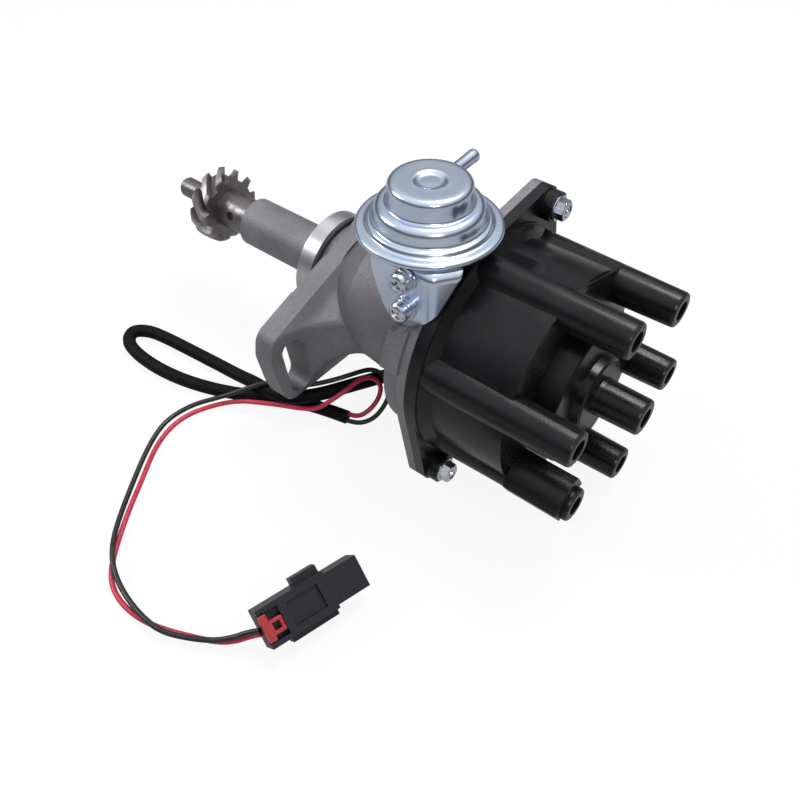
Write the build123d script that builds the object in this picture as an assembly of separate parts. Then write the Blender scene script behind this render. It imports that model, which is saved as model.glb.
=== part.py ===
"""Ignition distributor with vacuum advance, for a six-cylinder engine.

The shaft axis is horizontal along X: the drive gear is at -X and the cap's towers point to +X.
Y runs away from the clamp arm's tip, Z is up, and the vacuum canister stands on top.
All lengths are millimetres.  The origin is under the middle of the distributor (without its
cable), on the surface that it lies on.
"""
from build123d import *
import math
import os

os.makedirs("parts", exist_ok=True)

# ---------------------------------------------------------------- driving dimensions
# clearances
slide_gap = 0.05            # radial clearance of a piece that turns or slides in another
face_gap = 0.2              # axial clearance between a turning and a fixed face
swing_gap = 0.35            # clearance of a pin in an eye or slot

# cap
cap_h = 71.8                # parting face to the end of the outer towers
cap_r = 47.5
skirt_over = 5.2            # how far the skirt stands out from the cap's wall
skirt_r = cap_r + skirt_over
skirt_h = 5.8
cap_wall = 5.0
crown_x = 26.5              # crown face, measured back from the tower ends
crown_chamfer_h = 2.0
crown_fall_w = 13.5         # width of the crown's sloping border
crown_flat_r = cap_r - crown_fall_w
crown_step_r = crown_flat_r - 1.5
crown_step_h = 10.0
boss_step_r = 17.0
boss_step_h = 4.0
tower_n = 6
tower_phase = 42.9          # angle of the first outer tower from +Y
tower_in = 3.8              # tower axes, inwards from the cap's wall
tower_pitch_r = cap_r - tower_in
tower_tip_r = 7.5
tower_root_r = 8.7
tower_bore_r = 4.2
tower_bore_depth = 19.0
pocket_r = 3.8              # seat of a terminal below the tower's bore
pocket_depth = 6.0
cup_gap = 0.3               # terminal's end below the ledge of its seat
cup_r_in = 3.0
cup_floor = 1.5
centre_tower_r = 7.8
centre_tower_rise = 7.7     # beyond the outer towers
rim_round = 1.2
hood_turn = 32.0            # shield's long side, from +Y
hood_left = 8.7
hood_right = 9.3
hood_left_out = 8.6
hood_right_out = 9.2
hood_out = 12.2
hood_below = 2.5            # shield's end below the tower ends
insert_r = 3.2
insert_drop = 10.0          # how far an insert reaches into the cavity
insert_relief = 5.0
cavity_h = 34.8             # parting face to the cavity's end

# screw lugs of cap and housing
lug_angle = 54.0
lug_out = 8.6               # lug centres beyond the skirt
lug_pitch_r = skirt_r + lug_out
lug_r = 7.5
cap_lug_t = 4.8
cap_lug_boss_r = 6.6
cap_lug_boss_h = 9.8
screw_r = 2.45
screw_clear = 0.35
screw_head_af = 8.0
screw_head_h = 3.6
washer_r = 5.6
washer_t = 1.1
screw_len = 14.0

# housing
rim_t = 4.2
bowl_over = 0.5
bowl_r = cap_r + bowl_over
bowl_wall = 3.0
bowl_wall_len = 10.0
cone_len = 6.5
neck_r = 33.0
neck_low_r = 31.0
neck_taper = 14.5
neck_len = 45.0
neck_arm_r = 20.6           # neck where it meets the clamp arm
flare_len = 15.0            # length over which the neck widens from the arm
flare_mid_r = 26.4
arm_corner_r = 7.0
neck_wall = 4.5
arm_t = 10.0
seal_gap_len = 2.5
collar_r = 24.0
collar_len = 8.0
shank_r = 12.0
shank_len = 49.5
bearing_r = 8.0
floor_t = 18.0              # from the arm's front face to the neck's bore
bowl_depth = 12.2           # parting face to the bowl's floor
band_over = 0.8             # guard band beyond the rim
band_r = skirt_r + band_over
band_extra = 8.5
band_from = 98.0
band_to = 167.0

# clamp arm
arm_top_rise = 22.0
arm_bottom_z = 40.5
arm_corner_r = 8.0
slot_w = 11.0
slot_len = 33.0
slot_y = 49.8
slot_z = 19.7
slot_tilt = 8.5
arm_inner_z = 24.0
arm_pad_t = 0.6             # machined pad round the slot
arm_pad_y = 37.0
root_y = 8.0                # centre of the arm's trumpet-shaped root
root_z = 5.0
root_len = 26.0
root_decay = 8.0
root_end = 0.44

# seal and bushings
oring_minor_r = 1.25
oring_bulge = 0.7
bush_lower_len = 22.5
bush_upper_len = 22.0
thrust_t = 1.6

# shaft and gear
shaft_r = 6.0
tip_r = 5.1
tip_len = 23.5
hub_r = 9.5
hub_len = 17.7
gear_r = 18.5
gear_root_r = 14.2
gear_len = 10.5
gear_teeth = 10
gear_twist = 39.5
gear_phase = -2.0           # a tooth at the hub's side, from +Y
gear_bevel = 1.3
pin_r = 2.2
pin_from_end = 8.2
pin_angle = 158.3           # cross pin's direction, from +Y
pin_short = 1.2

# centrifugal advance
plate_r = 24.0
plate_t = 3.0
plate_rise = 3.5            # advance plate above the neck's floor
plate_hub_r = 9.0
weight_t = 6.0
weight_pivot_r = 17.0
weight_link_r = 9.5
weight_out_r = 21.5
weight_in_r = 7.6
weight_from = -13.0
weight_to = 118.0
pivot_pin_r = 1.5
link_pin_r = 1.2
cam_plate_t = 2.0
cam_plate_r = 15.0
post_r = 1.2
post_ring_r = 22.0
post_angle = 25.0
ear_angle = 20.0
ear_ring_r = 21.0
ear_r = 3.0
post_h = 5.0
spring_r = 2.2
spring_bore_r = 1.5
sleeve_r = 7.5
sleeve_top_x = 58.0         # end of the cam sleeve, back from the tower ends
reluctor_hub_r = 10.5
reluctor_r = 17.0
reluctor_len = 10.0
reluctor_x = 79.0           # reluctor's lower face, back from the tower ends
reluctor_teeth = 6

# pick-up plate
pickup_in = 3.2             # plate edge inside the bowl's wall
pickup_r = bowl_r - bowl_wall - pickup_in
pickup_t = 2.4
pickup_hole_r = 10.8
bearing_lip_w = 2.0
bearing_lip_r = pickup_r - bearing_lip_w
bearing_lip_t = 1.3
notch_angle = 14.0
coil_w = 18.0
coil_d = 12.0
coil_h = 8.0
coil_in = 10.8
coil_y = pickup_r - coil_in
air_gap = 0.6
link_pin_x_r = 1.5

# rotor
rotor_hub_r = 12.0
rotor_hub_len = 9.0
rotor_arm_t = 4.0
contact_gap = 0.7           # rotor contact to the cap's terminals
contact_over = 1.8
contact_reach = tower_pitch_r - insert_r - contact_gap
rotor_reach = contact_reach - contact_over
contact_w = 9.0
contact_t = 1.2

# centre contact
brush_r = 2.5
brush_len = 14.0
brush_spring_len = 8.0
brush_boss_r = 6.2
brush_boss_drop = 7.0
cterm_rise = 6.0            # centre terminal's foot above the cavity

# vacuum canister
can_x = 88.8                # axis, back from the tower ends
can_y = 15.8                # axis, towards the arm's side
can_rise = 10.8             # top of the crimped flange above the bowl
can_flange_z = bowl_r + can_rise
can_flange_r = 28.9
can_flange_t = 1.6
can_skin = 0.9
can_ring_r = 24.5
can_step_h = 6.0
can_step_z = can_flange_z + can_step_h
can_step_r = 22.3
can_shoulder_h = 3.5
can_shoulder_z = can_step_z + can_shoulder_h
can_shoulder_r = 18.2
can_wall_r = 16.6
can_wall_h = 8.9
can_top_z = can_shoulder_z + can_wall_h
can_top_r = 15.0
dimple_r = 7.2
dimple_depth = 1.0
neck_tube_r = 7.0
rod_hole_r = 3.6
boss_drop = 1.2             # boss of the housing below the bracket's shelf
boss_r = 9.5
tab_t = 1.5
rod_w = 4.0
rod_t = 1.6
eye_r = 3.6
cup_r = 12.0
cup_t = 0.8
dome_rise = 2.6
diaphragm_t = 0.6
spring_out_r = 11.4
spring_in_r = 9.4
nipple_r = 2.3
nipple_len = 15.1
nipple_angle = 93.0
nipple_rise = 4.6
nipple_bead = 0.45
nipple_bead_len = 2.2

# bracket
bracket_in = 7.0            # bracket's outer face inside the bowl's radius
bracket_y = bowl_r - bracket_in
bracket_t = 2.3
wing_angle = 55.0
shelf_w = 19.0
shelf_past = 8.0
bscrew_r = 2.4
bscrew_head_r = 4.2
bscrew_head_h = 4.9
bscrew_washer_r = 5.2
bscrew_washer_t = 1.3
bscrew_x = 80.5
bscrew_drop = 3.8           # upper screw below the shelf
bscrew_pitch = 13.9
pad_w = 11.0
pad_below = 8.0
pad_depth = 15.5
cut_gap = 0.6

# cable
sleeve_d = 6.6
wire_d = 2.3
grommet_r = 5.4
grommet_len = 6.0
grommet_lip_r = 6.6
grommet_lip_t = 2.0
grommet_z = 40.0
con_len = 44.5
con_body_len = 29.8
con_body_w = 16.0
con_box_w = 13.4
con_t = 11.0
con_wing_w = 2.9
con_wing_t = 6.0
con_wing_low_from = 9.0
con_wing_high_from = 18.6
con_roll = 40.0
con_heading = 75.5
con_x_pos = -66.9
con_y_pos = -144.9
con_socket_w = 10.0
con_socket_t = 7.6
con_socket_depth = 11.0
lock_t = 1.0
lock_w = 12.0
lock_len = 8.5
lock_window_w = 4.0

# ---------------------------------------------------------------- stations along the axis
x_part = -cap_h
x_rim = x_part - rim_t
x_wall = x_rim - bowl_wall_len
x_cone = x_wall - cone_len
x_arm = x_cone - neck_len
x_arm_back = x_arm - arm_t
x_collar = x_arm_back - seal_gap_len
x_shank = x_collar - collar_len
x_shank_end = x_shank - shank_len
x_floor = x_part - bowl_depth
x_neck_floor = x_arm + floor_t
x_hub = x_shank_end - thrust_t - 2 * face_gap
x_gear = x_hub - hub_len
x_gear_end = x_gear - gear_len
x_tip = x_gear_end - tip_len
x_plate_lo = x_neck_floor + plate_rise
x_plate_hi = x_plate_lo + plate_t
x_weight = x_plate_hi + 0.5
x_weight_hi = x_weight + weight_t
x_cam = x_weight_hi + 0.6
x_cam_hi = x_cam + cam_plate_t
x_spring = x_cam_hi + post_h / 2
x_sleeve_top = -sleeve_top_x
x_reluctor = -reluctor_x
x_cavity = x_part + cavity_h
x_crown = -crown_x
x_centre = centre_tower_rise
x_rotor_arm = x_sleeve_top + 0.5
x_contact = x_rotor_arm + rotor_arm_t
x_contact_hi = x_contact + contact_t
x_can = -can_x
y_can = -can_y
z_floor = -(lug_pitch_r * math.sin(math.radians(lug_angle)) + lug_r)
y_low = -(slot_y + 12.7)
z_fl_lo = can_flange_z - can_flange_t
z_base = z_fl_lo - can_skin
z_tab = z_base - tab_t
z_boss = z_tab - boss_drop
z_screw_high = z_tab - bscrew_drop
z_screw_low = z_screw_high - bscrew_pitch
origin = Location((-(x_tip + x_centre) / 2, -(y_low + skirt_r) / 2, -z_floor))


# ---------------------------------------------------------------- helpers
def at_x(x):
    """Plane across the shaft axis: its own X is +Y, its own Y is +Z."""
    return Plane(origin=(x, 0, 0), x_dir=(0, 1, 0), z_dir=(1, 0, 0))


def rod(x0, x1, r, y=0.0, z=0.0):
    return extrude(at_x(x0) * Pos(y, z) * Circle(r), x1 - x0)


def tube(x0, x1, r_out, r_in, y=0.0, z=0.0):
    return rod(x0, x1, r_out, y, z) - rod(x0, x1, r_in, y, z)


def turned(points):
    """Solid of revolution about the shaft axis from (x, radius) points."""
    return revolve(Plane.XZ * make_face(Polyline(*points, close=True)), Axis.X)


def polar(r, angle):
    return r * math.cos(math.radians(angle)), r * math.sin(math.radians(angle))


def sector(r_in, r_out, a0, a1):
    """Flat ring sector about the origin, for any angle under 180 degrees."""
    mid = (a0 + a1) / 2
    outer = ThreePointArc(polar(r_out, a0), polar(r_out, mid), polar(r_out, a1))
    inner = ThreePointArc(polar(r_in, a1), polar(r_in, mid), polar(r_in, a0))
    side_a = Line(polar(r_out, a1), polar(r_in, a1))
    side_b = Line(polar(r_in, a0), polar(r_out, a0))
    return make_face([outer, side_a, inner, side_b])


def upright(z0, z1, r, x=x_can, y=y_can):
    return extrude(Plane.XY.offset(z0) * Pos(x, y) * Circle(r), z1 - z0)


def turned_up(points):
    """Solid of revolution about the canister's axis from (radius, z) points."""
    shape = revolve(Plane.XZ * make_face(Polyline(*points, close=True)), Axis.Z)
    return Pos(x_can, y_can, 0) * shape


def hexagon(af):
    return RegularPolygon(af / 2, 6, major_radius=False)


def lug_plate(x0, x1):
    """Round flange with its two screw lugs, edges tangent to both circles."""
    swing = math.degrees(math.acos((skirt_r - lug_r) / lug_pitch_r))
    flat = Circle(skirt_r)
    for a in (lug_angle, lug_angle + 180):
        cy, cz = polar(lug_pitch_r, a)
        ends = []
        for s in (-1, 1):
            ny, nz = polar(1.0, a + s * swing)
            ends.append((skirt_r * ny, skirt_r * nz))
            ends.append((cy + lug_r * ny, cz + lug_r * nz))
        quad = make_face(Polyline(ends[0], ends[1], ends[3], ends[2], close=True))
        flat = flat + quad + Pos(cy, cz) * Circle(lug_r)
    return extrude(at_x(x0) * flat, x1 - x0)


def lug_holes(x0, x1, r):
    holes = []
    for a in (lug_angle, lug_angle + 180):
        cy, cz = polar(lug_pitch_r, a)
        holes.append(rod(x0, x1, r, cy, cz))
    return holes


# ---------------------------------------------------------------- housing
def build_housing():
    x_taper = x_cone - neck_taper
    x_flare = x_arm + flare_len
    profile = make_face([
        Line((x_rim, 0), (x_rim, bowl_r)),
        Line((x_rim, bowl_r), (x_wall, bowl_r)),
        Line((x_wall, bowl_r), (x_cone, neck_r)),
        Line((x_cone, neck_r), (x_taper, neck_r - 0.2)),
        Line((x_taper, neck_r - 0.2), (x_flare, neck_low_r)),
        ThreePointArc(
            (x_flare, neck_low_r), (x_arm + flare_len / 2, flare_mid_r), (x_arm, neck_arm_r)),
        Line((x_arm, neck_arm_r), (x_arm, 0)),
        Line((x_arm, 0), (x_rim, 0))])
    body = revolve(Plane.XZ * profile, Axis.X)
    body += rod(x_rim, x_part, skirt_r)
    body += lug_plate(x_rim, x_part)

    band = at_x(x_rim - band_extra) * sector(bowl_r - 2, band_r, band_from, band_to)
    body += extrude(band, band_extra)
    pad_low = z_screw_low - pad_below
    pad_high = z_tab - 0.3
    side = Plane(origin=(0, -bracket_y + bracket_t, 0), x_dir=(1, 0, 0), z_dir=(0, -1, 0))
    pad = side * Pos(-bscrew_x, (pad_low + pad_high) / 2)
    body += extrude(pad * RectangleRounded(pad_w, pad_high - pad_low, 3.0), -pad_depth)
    seat = offset(bracket_outline(), cut_gap, kind=Kind.INTERSECTION)
    body = body - extrude(side * seat, 20.0)

    arm = build_arm_outline()
    arm_plate = extrude(at_x(x_arm_back + arm_pad_t) * arm, arm_t - arm_pad_t)
    pad_half = at_x(x_arm_back) * Pos(-arm_pad_y - 50, 0) * Rectangle(100, 200)
    arm_pad = extrude(at_x(x_arm_back) * arm, arm_t / 2) & extrude(pad_half, arm_t / 2)
    body += arm_plate + arm_pad
    body += build_arm_root(arm)

    body += rod(x_shank_end, x_arm, shank_r)
    body += rod(x_shank, x_collar, collar_r)
    body += rod(x_collar, x_arm, collar_r + oring_bulge - 2 * oring_minor_r)

    boss = upright(0, z_boss, boss_r)
    body += boss
    pad_z = grommet_z
    body += rod(x_cone - 0.8, x_rim, grommet_lip_r + 1.2, 0, -pad_z)

    body = body - rod(x_floor, x_part + 1, bowl_r - bowl_wall)
    body = body - rod(x_neck_floor, x_floor, neck_r - neck_wall)
    body = body - rod(x_shank_end - 1, x_neck_floor, bearing_r)
    body = body - upright(-2, z_boss + 1, rod_hole_r)
    body = body - rod(x_cone - 2, x_floor, grommet_r, 0, -pad_z)
    body = body - tube(x_part - gasket_t, x_part + 1, gasket_out_r, gasket_in_r)
    for hole in lug_holes(x_rim - 5, x_part + 1, screw_r):
        body = body - hole
    for z in (z_screw_low, z_screw_high):
        body = body - bracket_drill(z, bscrew_r)
    slot = at_x(x_arm_back - 1) * Pos(-slot_y, -slot_z) * Rot(0, 0, 90 + slot_tilt)
    body = body - extrude(slot * SlotOverall(slot_len, slot_w), arm_t + root_len + 5)
    return body


gasket_t = 1.2
gasket_land = 2.2           # gasket's edge inside the skirt's
gasket_w = 2.5
gasket_out_r = skirt_r - gasket_land
gasket_in_r = gasket_out_r - gasket_w


def build_arm_outline():
    """Clamp arm seen along the shaft: sloping top edge, level bottom edge."""
    fall = math.tan(math.radians(20))
    tip_y = -slot_y - 10.9
    points = [
        (neck_low_r - 6, arm_inner_z),
        (6.0, arm_top_rise + 2.2),
        (tip_y, arm_top_rise + 2.2 + (tip_y - 6.0) * fall),
        (y_low, -11.0),
        (y_low + 3.0, -27.0),
        (y_low + 7.0, -arm_bottom_z),
        (6.0, -arm_bottom_z),
        (neck_low_r - 6, -arm_inner_z)]
    face = make_face(Polyline(*points, close=True))
    near = [v for v in face.vertices() if v.X < y_low + 8]
    return fillet(near, arm_corner_r)


def build_arm_root(arm):
    """Trumpet-shaped root of the arm, its outline shrinking along the neck."""
    sections = []
    for t in (0.0, 0.15, 0.35, 0.62, 1.0):
        size = root_end + (1 - root_end) * math.exp(-t * root_len / root_decay)
        shrunk = Pos(-root_y, -root_z) * scale(Pos(root_y, root_z) * arm, by=size)
        sections.append(at_x(x_arm + t * root_len) * shrunk)
    return loft(sections)


def bracket_outline():
    """Flat bracket plate from outside: (x, z) in the plane Y = 0."""
    corners = [
        (-16.7, -3.4), (-16.3, -6.8), (-12.7, -17.4), (-7.2, -25.7), (-1.7, -27.0), (2.2, -26.0),
        (7.3, -22.5), (8.1, -17.9), (11.5, -16.4), (11.5, -3.8), (9.0, -1.2), (4.5, 0.0),
        (-0.6, tab_t), (-13.5, tab_t)]
    return make_face(Polyline(
        *[(x - bscrew_x, z + z_tab) for x, z in corners], close=True))


def bracket_drill(z, r):
    base = Plane(origin=(0, -bracket_y - 5, 0), x_dir=(1, 0, 0), z_dir=(0, -1, 0))
    return extrude(base * Pos(-bscrew_x, z) * Circle(r), -16.0)


housing = build_housing()

# seal, bushings, thrust washer
oring_r = collar_r + oring_bulge - oring_minor_r
o_ring = revolve(
    Plane.XZ * Pos((x_collar + x_arm_back) / 2, oring_r) * Circle(oring_minor_r), Axis.X)
lower_bushing = tube(x_shank_end, x_shank_end + bush_lower_len, bearing_r, shaft_r + slide_gap)
upper_bushing = tube(x_neck_floor - bush_upper_len, x_neck_floor, bearing_r, shaft_r + slide_gap)
thrust_washer = tube(
    x_hub + face_gap, x_hub + face_gap + thrust_t, hub_r, shaft_r + slide_gap)

# ---------------------------------------------------------------- shaft and gear
pin_x = x_hub - pin_from_end
pin_plane = Plane(origin=(pin_x, 0, 0), x_dir=(1, 0, 0), z_dir=(0, *polar(1.0, pin_angle)))


def build_shaft():
    shaft = rod(x_gear_end, x_sleeve_top + 1.5 - 6.0, shaft_r)
    shaft += turned([
        (x_gear_end, 0), (x_gear_end, tip_r), (x_tip + 2.2, tip_r), (x_tip + 0.8, tip_r - 0.9),
        (x_tip, tip_r - 3.0), (x_tip, 0)])
    return shaft - cross_hole(shaft_r + 20)


def cross_hole(half):
    """Hole of the gear's cross pin."""
    return extrude(pin_plane * Circle(pin_r), half, both=True)


def build_gear():
    step = 360 / gear_teeth
    flat = Circle(gear_root_r)
    for i in range(gear_teeth):
        a = i * step + gear_phase - gear_twist
        tooth = make_face(Polyline(
            polar(gear_root_r - 1, a - step * 0.34), polar(gear_root_r + 0.6, a - step * 0.30),
            polar(gear_r, a - step * 0.17), polar(gear_r, a + step * 0.17),
            polar(gear_root_r + 0.6, a + step * 0.30), polar(gear_root_r - 1, a + step * 0.34),
            close=True))
        flat = flat + tooth
    section = at_x(x_gear_end) * flat
    teeth = Solid.extrude_linear_with_rotation(
        section.face(), (x_gear_end, 0, 0), (gear_len, 0, 0), gear_twist)
    limits = turned([
        (x_gear_end, 0), (x_gear_end, gear_r - gear_bevel),
        (x_gear_end + gear_bevel, gear_r + 0.01), (x_gear - gear_bevel, gear_r + 0.01),
        (x_gear, gear_r - gear_bevel), (x_gear, 0)])
    gear = Part() + teeth
    gear = gear & limits
    gear += rod(x_gear, x_hub, hub_r)
    gear = gear - rod(x_gear_end - 1, x_hub + 1, shaft_r)
    return gear - cross_hole(hub_r + 20)


drive_shaft = build_shaft()
drive_gear = build_gear()
gear_pin = extrude(pin_plane * Circle(pin_r), hub_r - pin_short, both=True)

# ---------------------------------------------------------------- centrifugal advance
advance_plate = rod(x_plate_lo, x_plate_hi, plate_r)
advance_plate += rod(x_neck_floor + 0.4, x_plate_lo, plate_hub_r)
for turn in (0, 180):
    py, pz = polar(weight_pivot_r, turn)
    advance_plate += rod(x_plate_hi, x_weight_hi + 0.3, pivot_pin_r, py, pz)
    py, pz = polar(post_ring_r, turn - post_angle)
    advance_plate += rod(x_plate_hi, x_cam_hi + post_h, post_r, py, pz)
advance_plate = advance_plate - rod(x_neck_floor, x_plate_hi + 1, shaft_r)


def build_weight(turn):
    flat = sector(weight_in_r, weight_out_r, weight_from, weight_to)
    flat = fillet(flat.vertices(), 2.0)
    weight = extrude(at_x(x_weight) * flat, weight_t)
    py, pz = polar(weight_link_r, 0)
    weight += rod(x_weight_hi, x_cam_hi + 0.4, link_pin_r, py, pz)
    py, pz = polar(weight_pivot_r, 0)
    weight = weight - rod(x_weight - 1, x_weight_hi + 1, pivot_pin_r + slide_gap, py, pz)
    return Rot(turn, 0, 0) * weight


flyweight_a = build_weight(0)
flyweight_b = build_weight(180)

cam_sleeve = rod(x_cam, x_sleeve_top, sleeve_r)
cam_sleeve += rod(x_cam, x_cam_hi, cam_plate_r)
for turn in (0, 180):
    py, pz = polar(ear_ring_r, turn + ear_angle)
    hy, hz = polar(cam_plate_r - 5, turn + ear_angle)
    bar = at_x(x_cam) * Pos((py + hy) / 2, (pz + hz) / 2) * Rot(0, 0, turn + ear_angle)
    bar = bar * SlotOverall(ear_ring_r - cam_plate_r + 5 + 2 * ear_r, 2 * ear_r)
    cam_sleeve += extrude(bar, cam_plate_t)
    cam_sleeve += rod(x_cam_hi, x_cam_hi + post_h, post_r, py, pz)
cam_sleeve = cam_sleeve - rod(x_cam - 1, x_sleeve_top - 3.0, shaft_r + slide_gap)
for turn in (0, 180):
    slot_long = 2 * (link_pin_r + swing_gap) + 0.8
    cut = at_x(x_cam - 1) * Rot(0, 0, turn) * Pos(weight_link_r + 0.2, 0)
    cut = cut * SlotOverall(slot_long, 2 * (link_pin_r + swing_gap))
    cam_sleeve = cam_sleeve - extrude(cut, cam_plate_t + 2)


def build_advance_spring(turn):
    ly, lz = polar(post_ring_r, turn - post_angle)
    uy, uz = polar(ear_ring_r, turn + ear_angle)
    y = (ly + uy) / 2
    z0 = min(lz, uz) + post_r + 0.1
    z1 = max(lz, uz) - post_r - 0.1
    body = extrude(Plane.XY.offset(z0) * Pos(x_spring, y) * Circle(spring_r), z1 - z0)
    bore = extrude(Plane.XY.offset(z0) * Pos(x_spring, y) * Circle(spring_bore_r), z1 - z0)
    return body - bore


advance_spring_a = build_advance_spring(0)
advance_spring_b = build_advance_spring(180)


def build_reluctor():
    step = 360 / reluctor_teeth
    hub = rod(x_reluctor, x_reluctor + reluctor_len, reluctor_hub_r)
    for i in range(reluctor_teeth):
        tooth = at_x(x_reluctor) * Rot(0, 0, i * step) * Pos((reluctor_r + 4) / 2, 0)
        hub += extrude(tooth * Rectangle(reluctor_r - 4, 3.4), reluctor_len)
    hub = hub & rod(x_reluctor, x_reluctor + reluctor_len, reluctor_r)
    return hub - rod(x_reluctor - 1, x_reluctor + reluctor_len + 1, sleeve_r)


reluctor = build_reluctor()

# ---------------------------------------------------------------- pick-up
x_pick_lo = x_floor + face_gap / 2
x_pick_hi = x_pick_lo + pickup_t
link_end = x_can - rod_t / 2 - 1.6
bearing_out_r = bowl_r - bowl_wall

bearing_ring = turned([
    (x_floor, pickup_r + slide_gap), (x_floor, bearing_out_r),
    (x_pick_hi + face_gap / 2 + bearing_lip_t, bearing_out_r),
    (x_pick_hi + face_gap / 2 + bearing_lip_t, bearing_lip_r),
    (x_pick_hi + face_gap / 2, bearing_lip_r),
    (x_pick_hi + face_gap / 2, pickup_r + slide_gap)])
ring_notch = extrude(
    at_x(x_floor - 1) * sector(pickup_r - 8, bearing_out_r + 2, -90 - 10, -90 + 10), 12)
bearing_ring = bearing_ring - ring_notch

pickup_plate = tube(x_pick_lo, x_pick_hi, pickup_r, pickup_hole_r)
pickup_plate += rod(link_end, x_pick_hi, link_pin_x_r, y_can, 0)
pickup_plate = pickup_plate - extrude(
    at_x(x_pick_lo - 1) * sector(pickup_r - 9, pickup_r + 2, -90 - notch_angle, -90 + notch_angle),
    pickup_t + 2)

coil_mid = at_x(x_pick_hi) * Pos(coil_y, 0)
pickup_coil = extrude(coil_mid * RectangleRounded(coil_d, coil_w, 2.0), coil_h)
pole_w = 4.0
pole_from = reluctor_r + air_gap
pole_to = coil_y - coil_d / 2
pole = at_x(x_pick_hi) * Pos((pole_from + pole_to) / 2, 0)
pickup_pole = extrude(pole * Rectangle(pole_to - pole_from, pole_w), coil_h + 2.0)

# ---------------------------------------------------------------- rotor
rotor_arm = rod(x_sleeve_top - rotor_hub_len, x_rotor_arm, rotor_hub_r)
arm_bar = at_x(x_rotor_arm) * Pos(rotor_reach / 2 - 5, 0)
arm_bar = arm_bar * RectangleRounded(rotor_reach + 10, contact_w + 5, 4.0)
rotor_arm += extrude(arm_bar, rotor_arm_t)
rotor_arm = rotor_arm - rod(x_sleeve_top - rotor_hub_len - 1, x_sleeve_top, sleeve_r)
contact_bar = at_x(x_contact) * Pos(contact_reach / 2 - 3, 0)
rotor_contact = extrude(contact_bar * Rectangle(contact_reach + 6, contact_w), contact_t)
rotor_contact = rotor_contact & rod(x_contact, x_contact_hi, contact_reach)


# ---------------------------------------------------------------- cap
def build_cap():
    cap = turned([
        (x_part, 0), (x_part, cap_r), (x_crown - crown_chamfer_h, cap_r),
        (x_crown, crown_flat_r), (x_crown, 0)])
    cap += rod(x_part, x_part + skirt_h, skirt_r)
    cap += turned([
        (x_part + skirt_h, 0), (x_part + skirt_h, skirt_r - 1.0), (x_part + skirt_h + 3.5, cap_r),
        (x_part + skirt_h + 3.5, 0)])
    cap += turned([
        (x_crown, 0), (x_crown, crown_step_r), (x_crown + crown_step_h - 0.6, crown_step_r),
        (x_crown + crown_step_h, crown_step_r - 0.6), (x_crown + crown_step_h, 0)])
    x_step = x_crown + crown_step_h
    cap += turned([
        (x_step, 0), (x_step, boss_step_r), (x_step + boss_step_h - 0.8, boss_step_r - 0.6),
        (x_step + boss_step_h, boss_step_r - 1.6), (x_step + boss_step_h, 0)])
    cap += turned([
        (x_step, 0), (x_step, centre_tower_r + 1.2), (x_step + boss_step_h + 1.5, centre_tower_r + 0.3),
        (x_centre - rim_round, centre_tower_r), (x_centre - 0.35, centre_tower_r - 0.35),
        (x_centre, centre_tower_r - rim_round), (x_centre, 0)])
    for i in range(tower_n):
        ty, tz = polar(tower_pitch_r, tower_phase + 360 / tower_n * i)
        tower = turned([
            (x_part + skirt_h - 1, 0), (x_part + skirt_h - 1, tower_root_r),
            (-rim_round, tower_tip_r), (-0.35, tower_tip_r - 0.35),
            (0, tower_tip_r - rim_round), (0, 0)])
        cap += Pos(0, ty, tz) * tower
    cap += lug_plate(x_part, x_part + cap_lug_t)
    for boss in lug_holes(x_part, x_part + cap_lug_boss_h, cap_lug_boss_r):
        cap += boss

    cap += build_web()
    cap += build_hood()

    cap = cap - rod(x_part - 1, x_cavity, cap_r - cap_wall)
    cap += rod(x_cavity - brush_boss_drop, x_cavity + 1, brush_boss_r)
    for i in range(tower_n):
        ty, tz = polar(tower_pitch_r, tower_phase + 360 / tower_n * i)
        cap = cap - rod(-tower_bore_depth, 1, tower_bore_r, ty, tz)
        cap = cap - rod(x_pocket, -tower_bore_depth, pocket_r, ty, tz)
        cap = cap - rod(x_cavity - insert_drop - insert_relief, x_pocket, insert_r, ty, tz)
    cap = cap - rod(x_centre - tower_bore_depth, x_centre + 1, tower_bore_r)
    cap = cap - rod(x_centre + x_pocket, x_centre - tower_bore_depth, pocket_r)
    cap = cap - rod(x_cterm_lo, x_centre + x_pocket, insert_r)
    cap = cap - rod(x_cavity - brush_boss_drop - 1, x_cterm_lo, brush_r + slide_gap)
    for hole in lug_holes(x_part - 1, x_part + cap_lug_boss_h + 1, screw_r + screw_clear):
        cap = cap - hole
    return cap


def build_web():
    """Tangent web between the first two towers, with a bevelled end."""
    a = tower_phase
    b = tower_phase + 360 / tower_n
    mid = (a + b) / 2
    y0, z0 = polar(tower_pitch_r, a)
    y1, z1 = polar(tower_pitch_r, b)
    ny, nz = polar(tower_root_r - 0.5, mid)
    iy, iz = polar(cap_r - 10, mid)
    flat = make_face(Polyline(
        (y0 + ny, z0 + nz), (y1 + ny, z1 + nz), (y1 - ny, z1 - nz), (iy, iz),
        (y0 - ny, z0 - nz), close=True))
    web = extrude(at_x(x_part + skirt_h - 1) * flat, x_crown - 1.5 - (x_part + skirt_h - 1))
    bevel_plane = Plane(
        origin=(x_crown - 1.5, *polar(tower_pitch_r + tower_root_r - 7, mid)),
        x_dir=(0, -math.sin(math.radians(mid)), math.cos(math.radians(mid))),
        z_dir=(1, *polar(0.8, mid)))
    return web - extrude(bevel_plane * Rectangle(200, 200), 60)


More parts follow.
